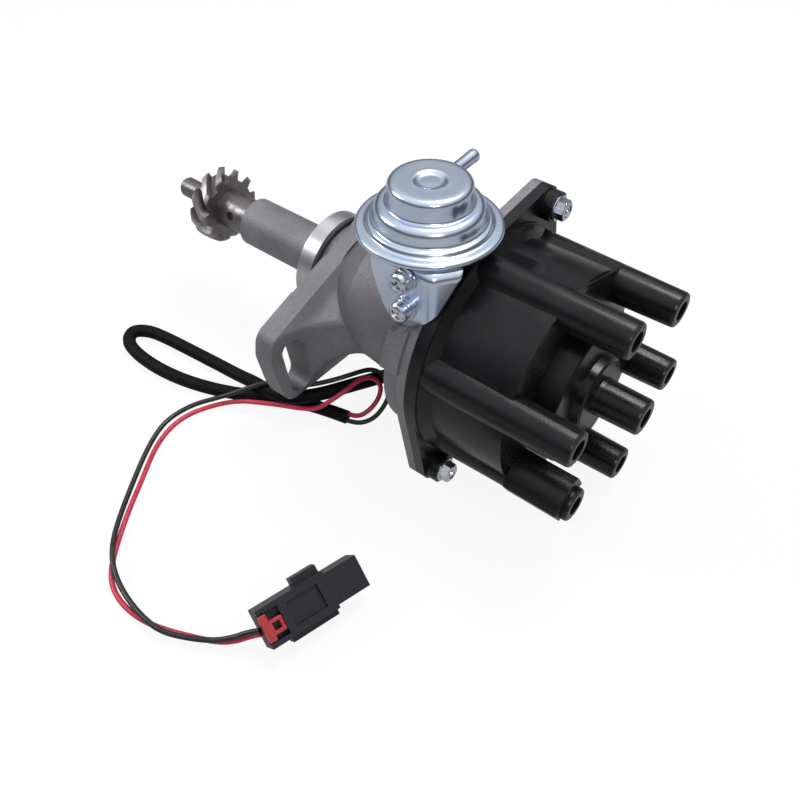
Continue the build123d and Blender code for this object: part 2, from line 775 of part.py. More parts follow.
def build_hood():
    """Shield beside one tower, its outer face slightly bowed."""
    ty, tz = polar(tower_pitch_r, tower_phase + 180)
    flat = make_face([
        Line((-hood_left, 0), (-hood_left, hood_left_out)),
        ThreePointArc((-hood_left, hood_left_out), (0.3, hood_out), (hood_right, hood_right_out)),
        Line((hood_right, hood_right_out), (hood_right, 0)),
        Line((hood_right, 0), (-hood_left, 0))])
    prism = at_x(x_crown - 1.0) * Pos(ty, tz) * Rot(0, 0, hood_turn) * flat
    return extrude(prism, -hood_below - x_crown + 1.0)


x_cterm_lo = x_cavity + cterm_rise
x_pocket = -tower_bore_depth - pocket_depth
brush_top = x_contact_hi + brush_len
cap = build_cap()

cap_gasket = tube(x_part - gasket_t, x_part, gasket_out_r, gasket_in_r)



def build_terminal(x_low, x_end, y, z):
    """Pin with a cup at its outer end; x_end is the end of the lead's bore."""
    pin = rod(x_low, x_end - pocket_depth + cup_floor, insert_r, y, z)
    cup = rod(x_end - pocket_depth, x_end - cup_gap, pocket_r, y, z)
    return pin + cup - rod(x_end - pocket_depth + cup_floor, x_end + 1, cup_r_in, y, z)


terminal_inserts = None
for i in range(tower_n):
    ty, tz = polar(tower_pitch_r, tower_phase + 360 / tower_n * i)
    pin = build_terminal(x_cavity - insert_drop, -tower_bore_depth, ty, tz)
    terminal_inserts = pin if terminal_inserts is None else terminal_inserts + pin

center_terminal = build_terminal(x_cterm_lo, x_centre - tower_bore_depth, 0.0, 0.0)
carbon_brush = rod(x_contact_hi, brush_top, brush_r)
brush_spring = tube(brush_top, x_cterm_lo, brush_r - 0.3, brush_r - 1.0)


def build_cap_screws():
    screws = None
    head_x = x_part + cap_lug_boss_h
    for a in (lug_angle, lug_angle + 180):
        cy, cz = polar(lug_pitch_r, a)
        one = rod(head_x - screw_len, head_x, screw_r, cy, cz)
        one += rod(head_x, head_x + washer_t, washer_r, cy, cz)
        head = at_x(head_x + washer_t) * Pos(cy, cz) * Rot(0, 0, a) * hexagon(screw_head_af)
        head = extrude(head, screw_head_h)
        head = head - rod(head_x + washer_t + screw_head_h - 1.2, head_x + 20, 2.3, cy, cz)
        one += head
        screws = one if screws is None else screws + one
    return screws


cap_screws = build_cap_screws()

# ---------------------------------------------------------------- vacuum canister
canister_cover = turned_up([
    (can_ring_r + 1.5, z_fl_lo + 0.8), (can_flange_r - 0.6, z_fl_lo + 0.8),
    (can_flange_r - 0.6, can_flange_z), (can_ring_r, can_flange_z),
    (can_ring_r - 0.7, can_flange_z - 0.6), (can_ring_r - 1.0, can_flange_z + 1.4),
    (can_step_r + 0.3, can_step_z - 1.8), (can_step_r - 1.0, can_step_z),
    (can_shoulder_r + 2.0, can_shoulder_z - 1.4), (can_shoulder_r, can_shoulder_z),
    (can_wall_r, can_shoulder_z + 1.2), (can_wall_r, can_top_z - 2.4),
    (can_wall_r - 0.7, can_top_z - 0.7), (can_top_r, can_top_z),
    (dimple_r, can_top_z), (dimple_r - 0.6, can_top_z - dimple_depth),
    (0, can_top_z - dimple_depth), (0, can_top_z - dimple_depth - can_skin),
    (dimple_r, can_top_z - dimple_depth - can_skin), (can_top_r - 0.4, can_top_z - can_skin),
    (can_wall_r - can_skin, can_top_z - 2.6), (can_wall_r - can_skin, can_shoulder_z + 0.6),
    (can_shoulder_r + 1.0, can_shoulder_z - 2.4), (can_step_r - 1.9, can_step_z - 0.9),
    (can_ring_r - 2.2, can_flange_z + 1.2), (can_ring_r - 2.0, z_fl_lo + 0.8)])
canister_base = turned_up([
    (rod_hole_r, z_base), (can_flange_r, z_base), (can_flange_r, can_flange_z),
    (can_flange_r - 0.6, can_flange_z), (can_flange_r - 0.6, z_fl_lo), (rod_hole_r, z_fl_lo)])
canister_base += upright(z_boss, z_base, neck_tube_r) - upright(0, can_top_z, rod_hole_r)

z_dia = z_fl_lo + 0.1
z_dome = z_dia + dome_rise
dia_out_r = can_flange_r - 0.7
dia_in_r = 10.0
diaphragm = turned_up([
    (2.0, z_dome), (dia_in_r, z_dome), (can_ring_r - 3.0, z_dia), (dia_out_r, z_dia),
    (dia_out_r, z_dia + diaphragm_t), (can_ring_r - 3.0, z_dia + diaphragm_t),
    (dia_in_r, z_dome + diaphragm_t), (2.0, z_dome + diaphragm_t)])


def build_pull_rod():
    strip = extrude(
        Plane.XY.offset(eye_r - 1.0) * Pos(x_can, y_can) * Rectangle(rod_t, rod_w),
        z_dome - 0.8 - eye_r + 1.0)
    eye = rod(x_can - rod_t / 2, x_can + rod_t / 2, eye_r, y_can, 0)
    eye = eye - rod(x_can - 5, x_can + 5, link_pin_x_r + swing_gap, y_can, 0)
    whole = strip + eye
    whole = whole - rod(x_can - 5, x_can + 5, link_pin_x_r + swing_gap, y_can, 0)
    whole += upright(z_dome - 0.8, z_dome, 8.0)
    whole += upright(z_dome, z_dome + diaphragm_t, 2.0)
    whole += upright(z_dome + diaphragm_t, z_dome + diaphragm_t + cup_t, cup_r)
    return whole


pull_rod = build_pull_rod()
z_spring = z_dome + diaphragm_t + cup_t
canister_spring = upright(z_spring, can_top_z - dimple_depth - can_skin, spring_out_r)
canister_spring = canister_spring - upright(z_spring - 1, can_top_z, spring_in_r)
canister_spring = canister_spring & upright(z_spring, can_top_z - dimple_depth - can_skin, spring_out_r)

ny, nx = math.sin(math.radians(nipple_angle)), math.cos(math.radians(nipple_angle))
nipple_plane = Plane(
    origin=(x_can + (can_wall_r - 1.2) * nx, y_can + (can_wall_r - 1.2) * ny, can_shoulder_z + nipple_rise),
    x_dir=(-ny, nx, 0), z_dir=(nx, ny, 0))
hose_nipple = extrude(nipple_plane * Circle(nipple_r), nipple_len)
hose_nipple += extrude(
    nipple_plane.offset(nipple_len - nipple_bead_len) * Circle(nipple_r + nipple_bead),
    nipple_bead_len)
hose_nipple = hose_nipple - extrude(nipple_plane * Circle(nipple_r - 0.9), nipple_len + 1)
nipple_cut = extrude(nipple_plane.offset(-2) * Circle(nipple_r), nipple_len)
canister_cover = canister_cover - nipple_cut


# ---------------------------------------------------------------- bracket
def build_bracket():
    side = Plane(origin=(0, -bracket_y + bracket_t, 0), x_dir=(1, 0, 0), z_dir=(0, -1, 0))
    plate = extrude(side * bracket_outline(), bracket_t)
    shelf = extrude(
        Plane.XY.offset(z_tab) * Pos(x_can + 0.4, (y_can + shelf_past - bracket_y) / 2)
        * Rectangle(shelf_w, y_can + shelf_past + bracket_y), tab_t)
    plate += shelf - upright(0, 100, neck_tube_r)
    wing_side, wing_fall = polar(1.0, wing_angle)
    bend = Plane(
        origin=(-bscrew_x + 11.5, -bracket_y, 0), x_dir=(wing_side, wing_fall, 0),
        z_dir=(wing_fall, -wing_side, 0))
    wing = make_face(Polyline(
        (-0.8, z_tab - 16.2), (4.0, z_tab - 15.4), (12.0, z_tab - 0.6), (-0.8, z_tab - 3.9),
        close=True))
    return plate + extrude(bend * wing, -bracket_t)


bracket = build_bracket()
for z in (z_screw_low, z_screw_high):
    bracket = bracket - bracket_drill(z, bscrew_r + 0.3)


def build_bracket_screws():
    screws = None
    out = Plane(origin=(0, -bracket_y, 0), x_dir=(1, 0, 0), z_dir=(0, -1, 0))
    for z in (z_screw_low, z_screw_high):
        spot = out * Pos(-bscrew_x, z)
        one = extrude(spot * Circle(bscrew_r), -9.0)
        one += extrude(spot * Circle(bscrew_washer_r), bscrew_washer_t)
        one += extrude(
            out.offset(bscrew_washer_t) * Pos(-bscrew_x, z) * Circle(bscrew_head_r), bscrew_head_h)
        one = one - extrude(
            out.offset(bscrew_washer_t + bscrew_head_h - 1.4) * Pos(-bscrew_x, z) * Rectangle(1.0, 5.5), 3)
        one = one - extrude(
            out.offset(bscrew_washer_t + bscrew_head_h - 1.4) * Pos(-bscrew_x, z) * Rectangle(5.5, 1.0), 3)
        screws = one if screws is None else screws + one
    return screws


bracket_screws = build_bracket_screws()

# ---------------------------------------------------------------- cable
x_grommet = x_cone - 0.8
cable_grommet = rod(x_grommet - grommet_lip_t, x_grommet, grommet_lip_r, 0, -grommet_z)
cable_grommet += rod(x_grommet, x_grommet + grommet_len, grommet_r, 0, -grommet_z)


def cable(name, dia, points):
    """Round cable through points (x, y, height above the surface)."""
    path = [Vector(x, y, z_floor + h) for x, y, h in points]
    radii = []
    for i in range(1, len(path) - 1):
        a = path[i] - path[i - 1]
        b = path[i + 1] - path[i]
        half = math.radians(a.get_angle(b)) / 2
        radii.append(round(0.45 * min(a.length, b.length) / math.tan(half), 2))
    print(name, "bend radii", radii)
    line = FilletPolyline(*path, radius=radii)
    start = Plane(origin=line @ 0, z_dir=line % 0)
    solid = sweep(start * Circle(dia / 2), path=line)
    print(name, "volume / (section x length)", solid.volume / (math.pi * dia ** 2 / 4 * line.length))
    return solid


exit_h = -grommet_z - z_floor
sleeve_h = sleeve_d / 2 + 0.1
wire_h = wire_d / 2 + 0.1
sleeve_points = [
    (x_grommet - grommet_lip_t, 0, exit_h), (-101.5, 0, exit_h), (-108.5, -3.6, 16.0), (-116.3, -12.2, 13.9),
    (-125, -25, 12.6), (-133.5, -38, 11.2), (-142, -47.5, 10.6), (-153, -52, 10.6),
    (-166, -50.5, 8.2), (-180, -49, 3.6), (-196, -50.0, sleeve_h), (-214, -51.5, sleeve_h),
    (-231, -53, sleeve_h), (-242, -55, sleeve_h), (-248.8, -60.5, sleeve_h), (-244, -67.5, sleeve_h),
    (-233, -70.5, sleeve_h), (-218.5, -71, sleeve_h), (-206, -69.7, sleeve_h), (-194.5, -67.2, sleeve_h),
    (-184, -63.8, sleeve_h), (-174.5, -59.8, sleeve_h), (-163.5, -54, sleeve_h), (-153, -48, sleeve_h),
    (-142, -42.8, sleeve_h), (-130.5, -39, sleeve_h), (-119, -36.5, sleeve_h)]
cable_sleeve = cable("cable_sleeve", sleeve_d, sleeve_points)
end_point = Vector(*sleeve_points[-1])
end_run = (end_point - Vector(*sleeve_points[-2])).normalized()
end_side = Vector(-end_run.Y, end_run.X, 0)
red_start = end_point + end_side * 1.3 + Vector(0, 0, 1.0)
black_start = end_point - end_side * 1.3 - Vector(0, 0, 0.6)
red_points = [
    tuple(red_start), tuple(red_start + end_run * 5.0), (-109.9, -26.6, 6.6), (-108.6, -20.0, 10.4),
    (-110.0, -16.6, 15.6), (-114.6, -18.2, 19.2), (-118.4, -24.4, 20.4), (-120.6, -33.6, 19.0),
    (-123.8, -41.4, 15.8), (-128.8, -47.2, 11.2), (-137.0, -50.6, 9.4), (-146.2, -54.4, 8.8),
    (-155.8, -58.2, 7.2), (-164.8, -61.6, 5.2), (-172.0, -66.6, 3.2), (-177.4, -72.6, 1.6),
    (-181.0, -80.2, wire_h), (-182, -89, wire_h), (-180.3, -98, wire_h),
    (-176, -108, wire_h), (-167.3, -121.5, wire_h), (-157.8, -137, wire_h), (-147.5, -151.5, wire_h),
    (-140.5, -159.8, wire_h), (-133.6, -165.2, wire_h), (-124, -168.2, wire_h), (-112, -168.2, wire_h),
    (-101, -165, wire_h), (-90.5, -160.4, wire_h), (-80.7, -155.9, 1.7), (-74.7, -151.8, 3.6),
    (-70.7, -148.0, 6.4), (-66.7, -145.4, 9.2)]
wire_red = cable("wire_red", wire_d, red_points)
black_points = [
    tuple(black_start), tuple(black_start + end_run * 6.0), (-107.6, -28.8, 3.2), (-105.8, -22.0, 5.8),
    (-106.0, -15.8, 10.2), (-109.4, -12.6, 15.2), (-114.4, -13.2, 18.8), (-119.4, -14.8, 18.8),
    (-124.4, -17.6, 17.0), (-129.6, -22.6, 14.4), (-134.6, -29.8, 13.2), (-140.0, -37.0, 12.8),
    (-145.4, -42.6, 12.8), (-151.2, -47.0, 13.8), (-157.4, -52.0, 15.0), (-163.8, -57.8, 11.6),
    (-170.4, -63.6, 7.8), (-176.6, -69.0, 5.0), (-182.4, -75.6, 3.2),
    (-185.8, -83.4, 1.8), (-186.4, -91.2, wire_h), (-184, -99.5, wire_h), (-178.3, -110.8, wire_h),
    (-169.5, -124.8, wire_h), (-160.0, -138.8, 1.6), (-150.0, -150.8, 3.4), (-141.2, -158.3, 3.8),
    (-133.3, -162.4, 3.4), (-124, -165.3, 3.0), (-112, -167.4, 3.7), (-101, -167.3, 3.8),
    (-91.5, -163.4, 3.9), (-81.0, -157.5, 4.7), (-75.2, -152.6, 6.6), (-71.0, -148.2, 9.2),
    (-66.7, -145.4, 11.8)]
wire_black = cable("wire_black", wire_d, black_points)

# ---------------------------------------------------------------- connector
heading = math.radians(con_heading)
roll = math.radians(con_roll)
con_x = Vector(math.cos(heading), math.sin(heading), 0)
con_side = Vector(math.sin(heading), -math.cos(heading), 0)
con_n = con_side * math.sin(roll) + Vector(0, 0, 1) * math.cos(roll)
# lowest edge of the wings on the surface
con_drop = (con_body_w / 2 + con_wing_w) * math.sin(roll) + con_t / 2 * math.cos(roll)
con_base = Plane(origin=(con_x_pos, con_y_pos, z_floor + con_drop + 0.05), x_dir=con_x, z_dir=con_n)


def con_block(s0, s1, w, t0, t1):
    """Block of the connector: stations s0 to s1, width w, from height t0 to t1."""
    flat = con_base.offset(t0) * Pos((s0 + s1) / 2, 0) * Rectangle(s1 - s0, w)
    return extrude(flat, t1 - t0)


def build_connector():
    half = con_t / 2
    body = con_block(0, con_body_len, con_body_w, -half, half)
    body = body - con_block(12, con_body_len - 4, con_body_w - 6, half - 1.6, half + 1)
    for s, start in ((-1, con_wing_low_from), (1, con_wing_high_from)):
        wing = con_base.offset(-half) * Pos(
            (start + con_body_len) / 2, s * (con_body_w / 2 + con_wing_w / 2))
        body += extrude(wing * Rectangle(con_body_len - start, con_wing_w), con_wing_t)
    body = body - con_block(-1, lock_len, lock_w, half - 3.0 - lock_t, half + 1)
    body = body - con_block(con_body_len, con_len, con_box_w, -half, half)
    return body


def build_plug():
    half = con_t / 2
    box = con_block(con_body_len, con_len, con_box_w, -half, half)
    cavity = con_block(con_len - con_socket_depth, con_len + 1, con_socket_w, -con_socket_t / 2, con_socket_t / 2)
    return box - cavity


def build_lock():
    half = con_t / 2
    plate = con_block(0, lock_len, lock_w, half - 3.0 - lock_t, half)
    return plate - con_block(3.0, 6.5, lock_window_w, half - 2.0, half + 1)


connector_socket = build_connector()
connector_plug = build_plug()
connector_lock = build_lock()

# ---------------------------------------------------------------- write the pieces
pieces = {
    "housing": housing, "o_ring": o_ring, "lower_bushing": lower_bushing,
    "upper_bushing": upper_bushing, "thrust_washer": thrust_washer,
    "drive_shaft": drive_shaft, "drive_gear": drive_gear, "gear_pin": gear_pin,
    "advance_plate": advance_plate, "flyweight_a": flyweight_a, "flyweight_b": flyweight_b,
    "advance_spring_a": advance_spring_a, "advance_spring_b": advance_spring_b,
    "cam_sleeve": cam_sleeve, "reluctor": reluctor, "bearing_ring": bearing_ring,
    "pickup_plate": pickup_plate, "pickup_coil": pickup_coil, "pickup_pole": pickup_pole,
    "rotor_arm": rotor_arm, "rotor_contact": rotor_contact, "cap": cap,
    "cap_gasket": cap_gasket, "terminal_inserts": terminal_inserts,
    "center_terminal": center_terminal, "carbon_brush": carbon_brush,
    "brush_spring": brush_spring, "cap_screws": cap_screws,
    "canister_cover": canister_cover, "canister_base": canister_base,
    "diaphragm": diaphragm, "canister_spring": canister_spring, "pull_rod": pull_rod,
    "hose_nipple": hose_nipple, "bracket": bracket, "bracket_screws": bracket_screws,
    "cable_grommet": cable_grommet, "cable_sleeve": cable_sleeve, "wire_red": wire_red,
    "wire_black": wire_black, "connector_socket": connector_socket,
    "connector_plug": connector_plug, "connector_lock": connector_lock}

for name, shape in pieces.items():
    solids = shape.solids()
    placed = origin * (solids[0] if len(solids) == 1 else Compound(children=list(solids)))
    export_step(placed, os.path.join("parts", name + ".step"))
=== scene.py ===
# %% [markdown]
# # An ignition distributor, dressed for a studio picture
# The imported model already has every rigid piece at its real size and place. This script adds
# what the metalwork can't carry: the finishes, the cable that lies on the table, and the small
# details that catch the light. We read the frame first.

# %% load the frame
import math

import bmesh
import bpy
from mathutils import Matrix, Vector


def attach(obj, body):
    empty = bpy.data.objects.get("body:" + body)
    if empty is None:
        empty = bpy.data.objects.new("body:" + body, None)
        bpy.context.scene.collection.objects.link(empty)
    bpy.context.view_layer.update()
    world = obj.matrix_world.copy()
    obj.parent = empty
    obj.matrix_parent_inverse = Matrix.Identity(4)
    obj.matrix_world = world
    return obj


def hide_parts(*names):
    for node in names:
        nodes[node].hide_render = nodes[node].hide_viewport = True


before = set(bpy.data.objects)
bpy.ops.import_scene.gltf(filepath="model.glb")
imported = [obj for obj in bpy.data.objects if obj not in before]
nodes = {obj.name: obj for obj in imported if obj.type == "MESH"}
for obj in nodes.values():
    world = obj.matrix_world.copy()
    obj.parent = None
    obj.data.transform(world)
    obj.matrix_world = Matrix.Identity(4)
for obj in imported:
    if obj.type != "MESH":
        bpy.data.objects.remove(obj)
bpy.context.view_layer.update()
MM = 0.001
AXIS_HEIGHT = 57.093        # of the shaft axis above the table, in millimetres
AXIS = Vector((126.75, 4.9, AXIS_HEIGHT)) * MM     # a point of the shaft axis, level with the tower ends


def from_axis(x, y, z):
    """A place given from the tower ends on the shaft axis, in millimetres, as a point in metres."""
    return AXIS + Vector((x, y, z)) * MM


# %% [markdown]
# ## Camera
# A 39 mm lens looks down at about 46 degrees, from in front of the clamp arm. A camera looks
# along its own -Z with +Y up, so its three axes are written out as the columns of a matrix.

# %% camera
look = Vector((-0.43781, 0.54342, -0.71626)).normalized()
right = Vector((0.7791, 0.6269, -0.0006)).normalized()
up = right.cross(look)
turn = Matrix((right, up, -look)).transposed().to_4x4()
camera = bpy.data.objects.new("camera", bpy.data.cameras.new("camera"))
camera.data.lens = 38.96
camera.data.sensor_width = 36.0
camera.data.clip_start = 0.01
camera.matrix_world = Matrix.Translation(from_axis(78.05, -240.93, 248.39)) @ turn
bpy.context.scene.collection.objects.link(camera)
bpy.context.scene.camera = camera

# %% [markdown]
# ## Cable
# A soft cable has no corners, so a NURBS line of order 3 takes the route's points as its
# control points. The round section comes from the curve's own bevel. That bevel is written one
# metre deep, and each point's radius scales it to the real cable, because a curve's box also
# grows by its points' radius. Heights are measured from the table, the rest from the shaft axis.

# %% cable helper
TABLE = -AXIS_HEIGHT
SLEEVE_WIDTH = 6.6
WIRE_WIDTH = 2.3
OVER_TABLE = 0.1            # what keeps a lying cable clear of the table


def plain_object(name, data):
    """Links a new object that holds this mesh, curve, light or camera."""
    made = bpy.data.objects.new(name, data)
    bpy.context.scene.collection.objects.link(made)
    return made


def finished_mesh(name, bm):
    """Empties a bmesh into a new mesh whose faces all look outwards."""
    bmesh.ops.recalc_face_normals(bm, faces=bm.faces)
    mesh = bpy.data.meshes.new(name)
    bm.to_mesh(mesh)
    bm.free()
    return mesh


def evaluated_mesh(piece):
    """A new mesh of what the piece looks like with its modifiers or bevel."""
    return bpy.data.meshes.new_from_object(piece.evaluated_get(bpy.context.evaluated_depsgraph_get()))


def stand_in(piece, replaced):
    """Puts a scene piece on the body in place of a CAD node, which it hides."""
    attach(piece, "body")
    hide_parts(replaced)


def cable_line(name, points, width):
    """A round cable along points (x, y, height above the table), all in millimetres."""
    data = bpy.data.curves.new(name, "CURVE")
    data.dimensions = "3D"
    spline = data.splines.new("NURBS")
    spline.points.add(len(points) - 1)
    for control, (x, y, h) in zip(spline.points, points):
        control.co = (*from_axis(x, y, TABLE + h), 1.0)
        control.radius = width / 2 * MM
    spline.order_u = 3
    spline.use_endpoint_u = True
    spline.resolution_u = 10
    data.bevel_depth = 1.0
    data.bevel_resolution = 5
    data.use_fill_caps = True
    return plain_object(name, data)


def line_length(piece):
    """Length of the curve's own line, in metres."""
    depth = piece.data.bevel_depth
    piece.data.bevel_depth = 0
    bpy.context.view_layer.update()
    mesh = evaluated_mesh(piece)
    spots = [v.co for v in mesh.vertices]
    length = sum((spots[a] - spots[b]).length for a, b in (edge.vertices for edge in mesh.edges))
    bpy.data.meshes.remove(mesh)
    piece.data.bevel_depth = depth
    return length


# %% cable sleeve
rest = SLEEVE_WIDTH / 2 + OVER_TABLE
sleeve_route = [
    (-95.3, 0, 17.093), (-101.5, 0, 17.093), (-108.5, -3.6, 16.0), (-116.3, -12.2, 13.9),
    (-125, -25, 12.6), (-133.5, -38, 11.2), (-142, -47.5, 10.6), (-153, -52, 10.6),
    (-166, -50.5, 8.2), (-180, -49, 3.6), (-196, -50.0, rest), (-214, -51.5, rest),
    (-231, -53, rest), (-242, -55, rest), (-248.8, -60.5, rest), (-244, -67.5, rest),
    (-233, -70.5, rest), (-218.5, -71, rest), (-206, -69.7, rest), (-194.5, -67.2, rest),
    (-184, -63.8, rest), (-174.5, -59.8, rest), (-163.5, -54, rest), (-153, -48, rest),
    (-142, -42.8, rest), (-130.5, -39, rest), (-119, -36.5, rest)]
sleeve = cable_line("sleeve", sleeve_route, SLEEVE_WIDTH)
sleeve_length = line_length(sleeve)
print("sleeve length", round(sleeve_length, 4))

# %% two wires
low = WIRE_WIDTH / 2 + OVER_TABLE
sleeve_end = Vector(sleeve_route[-1])
run = (sleeve_end - Vector(sleeve_route[-2])).normalized()
side = Vector((-run.y, run.x, 0))
red_start = sleeve_end + side * 1.3 + Vector((0, 0, 1.0))
black_start = sleeve_end - side * 1.3 - Vector((0, 0, 0.6))
red_route = [
    red_start, red_start + run * 5.0, (-111.6, -28.0, 6.6), (-111.0, -22.0, 10.4),
    (-112.4, -18.6, 15.6), (-116.6, -20.0, 19.2), (-119.6, -25.4, 20.4), (-120.6, -33.6, 19.0),
    (-123.8, -41.4, 15.8), (-128.8, -47.2, 11.2), (-137.0, -50.6, 9.4), (-146.2, -54.4, 8.8),
    (-155.8, -58.2, 7.2), (-164.8, -61.6, 5.2), (-172.0, -66.6, 3.2), (-177.4, -72.6, 1.6),
    (-181.0, -80.2, low), (-182, -89, low), (-180.3, -98, low), (-176, -108, low),
    (-167.3, -121.5, low), (-157.8, -137, low), (-147.5, -151.5, low), (-140.5, -159.8, low),
    (-133.6, -165.2, low), (-124, -168.2, low), (-112, -168.2, low), (-101, -165, low),
    (-90.5, -160.4, low), (-80.7, -155.9, 1.7), (-74.7, -151.8, 3.6), (-70.7, -148.0, 6.4),
    (-66.7, -145.4, 9.2)]
black_route = [
    black_start, black_start + run * 6.0, (-108.8, -30.0, 3.2), (-107.8, -24.0, 5.8),
    (-108.2, -17.8, 10.2), (-111.4, -14.6, 15.2), (-116.0, -14.8, 18.8), (-120.6, -16.0, 18.8),
    (-124.4, -17.6, 17.0), (-129.6, -22.6, 14.4), (-134.6, -29.8, 13.2), (-140.0, -37.0, 12.8),
    (-145.4, -42.6, 12.8), (-151.2, -47.0, 13.8), (-157.4, -52.0, 15.0), (-163.8, -57.8, 11.6),
    (-170.4, -63.6, 7.8), (-176.6, -69.0, 5.0), (-182.4, -75.6, 3.2), (-185.8, -83.4, 1.8),
    (-186.4, -91.2, low), (-184, -99.5, low), (-178.3, -110.8, low), (-169.5, -124.8, low),
    (-160.0, -138.8, 1.6), (-150.0, -150.8, 3.4), (-141.2, -158.3, 3.8), (-133.3, -162.4, 3.4),
    (-124, -165.3, 3.0), (-112, -167.4, 3.7), (-101, -167.3, 3.8), (-91.5, -163.4, 3.9),
    (-81.0, -157.5, 4.7), (-75.2, -152.6, 6.6), (-71.0, -148.2, 9.2), (-66.7, -145.4, 11.8)]
red_wire = cable_line("red_wire", red_route, WIRE_WIDTH)
black_wire = cable_line("black_wire", black_route, WIRE_WIDTH)
wire_lengths = line_length(red_wire), line_length(black_wire)
print("wires", [round(v, 4) for v in wire_lengths])

# %% [markdown]
# ## Connector lock
# The red lock slides into the connector's tail. It is a flat moulding with a bar along the rear
# edge and a square eye in front of it. Its face is laid out as cells between two rows of
# stations, so the eye is simply the cell that is left out, and a small bevel softens the edges.

# %% connector lock
LOCK_FACE = 5.35            # height of the lock's face above the connector's middle
LOCK_DEEP = 3.6
TAIL_HALF_WIDE, WING_WIDE, TAIL_HALF_THICK = 8.0, 2.9, 5.5
TAIL_LIFT = 0.05            # what keeps the connector clear of the table
head_way, lean_way = math.radians(75.5), math.radians(40)
ahead = Vector((math.cos(head_way), math.sin(head_way), 0))
beside = Vector((math.sin(head_way), -math.cos(head_way), 0))
face_up = beside * math.sin(lean_way) + Vector((0, 0, 1)) * math.cos(lean_way)
upwards = face_up.cross(ahead)
tail_height = ((TAIL_HALF_WIDE + WING_WIDE) * math.sin(lean_way) + TAIL_HALF_THICK * math.cos(lean_way)
               + TAIL_LIFT)
tail = from_axis(-66.9, -144.9, TABLE + tail_height)
stations = [0.1, 3.2, 3.9, 6.9, 8.3]
spots = [-5.7, -3.9, -2.5, 0.7, 2.1, 5.4]
bm = bmesh.new()
for i in range(4):
    for j in range(5):
        in_bar, in_eye = i == 0, i == 2 and j == 2
        if in_bar or (1 <= j <= 3 and not in_eye):
            corners = ((stations[i + di], spots[j + dj]) for di, dj in ((0, 0), (1, 0), (1, 1), (0, 1)))
            bm.faces.new([bm.verts.new(tail + (ahead * a + upwards * b + face_up * LOCK_FACE) * MM)
                          for a, b in corners])
bmesh.ops.remove_doubles(bm, verts=bm.verts, dist=1e-6)
bmesh.ops.recalc_face_normals(bm, faces=bm.faces)
lifted = bmesh.ops.extrude_face_region(bm, geom=bm.faces[:])
bmesh.ops.translate(bm, vec=face_up * -LOCK_DEEP * MM,
                    verts=[v for v in lifted["geom"] if isinstance(v, bmesh.types.BMVert)])
bmesh.ops.dissolve_limit(bm, angle_limit=0.01, verts=bm.verts, edges=bm.edges)
lock = plain_object("lock_slide", finished_mesh("lock_slide", bm))
edges = lock.modifiers.new("edges", "BEVEL")
edges.width, edges.segments, edges.limit_method = 0.25 * MM, 2, "ANGLE"
stand_in(lock, "connector_lock")
print("lock faces", len(lock.data.polygons))

# %% put the cable pieces on the body in place of their CAD nodes
for piece, node, slot, length, width, (x, y, h), ends in (
        (sleeve, "cable_sleeve", "cable_sleeve_vinyl", sleeve_length, SLEEVE_WIDTH, sleeve_route[0],
         ["cable_grommet"]),
        (red_wire, "wire_red", "wire_red_vinyl", wire_lengths[0], WIRE_WIDTH, red_start,
         ["connector_socket", "connector_plug", "lock_slide"]),
        (black_wire, "wire_black", "wire_black_vinyl", wire_lengths[1], WIRE_WIDTH, black_start,
         ["connector_socket"])):
    stand_in(piece, node)
    from_axis(x, y, TABLE + h)
    width * MM

# %% [markdown]
# ## Canister cover
# The real cover is a deep-drawn sheet: a flat top with a shallow dimple, a straight wall, a rolled
# shoulder and a flange like the brim of a hat. A drawn sheet has no corners, so a few listed
# points are joined by a smooth curve and turned round the canister's axis, once for the outside
# and once, a sheet's thickness in, for the inside.

# %% turned sheet
def through(points, steps):
    """A smooth line through the points (Catmull and Rom's spline)."""
    line = []
    for i in range(len(points) - 1):
        a, b, c, d = (Vector(points[max(0, min(len(points) - 1, i + k))]) for k in (-1, 0, 1, 2))
        for j in range(steps):
            t = j / steps
            line.append(0.5 * (2 * b + (c - a) * t + (2 * a - 5 * b + 4 * c - d) * t * t
                               + (3 * b - a - 3 * c + d) * t ** 3))
    return [*line, Vector(points[-1])]


def turned_sheet(name, outline, centre, axis, sides=96):
    """Turns a closed outline of (radius, height) in millimetres round an axis through centre."""
    bm = bmesh.new()
    across = axis.orthogonal().normalized()
    other = axis.cross(across)
    rings = []
    for r, h in outline:
        if r < 1e-6:
            rings.append([bm.verts.new(centre + axis * h * MM)])
        else:
            turns = (2 * math.pi * i / sides for i in range(sides))
            spots = (across * math.cos(a) * r + other * math.sin(a) * r + axis * h for a in turns)
            rings.append([bm.verts.new(centre + spot * MM) for spot in spots])
    for a, b in zip(rings, [*rings[1:], rings[0]]):
        if len(a) == 1 and len(b) == 1:
            continue
        for i in range(sides):
            j = (i + 1) % sides
            if len(a) == 1:
                bm.faces.new((a[0], b[j], b[i]))
            elif len(b) == 1:
                bm.faces.new((a[i], a[j], b[0]))
            else:
                bm.faces.new((a[i], a[j], b[j], b[i]))
    mesh = finished_mesh(name, bm)
    mesh.shade_smooth()
    mesh.set_sharp_from_angle(angle=math.radians(40))
    print(name, len(mesh.polygons), "faces")
    return plain_object(name, mesh)


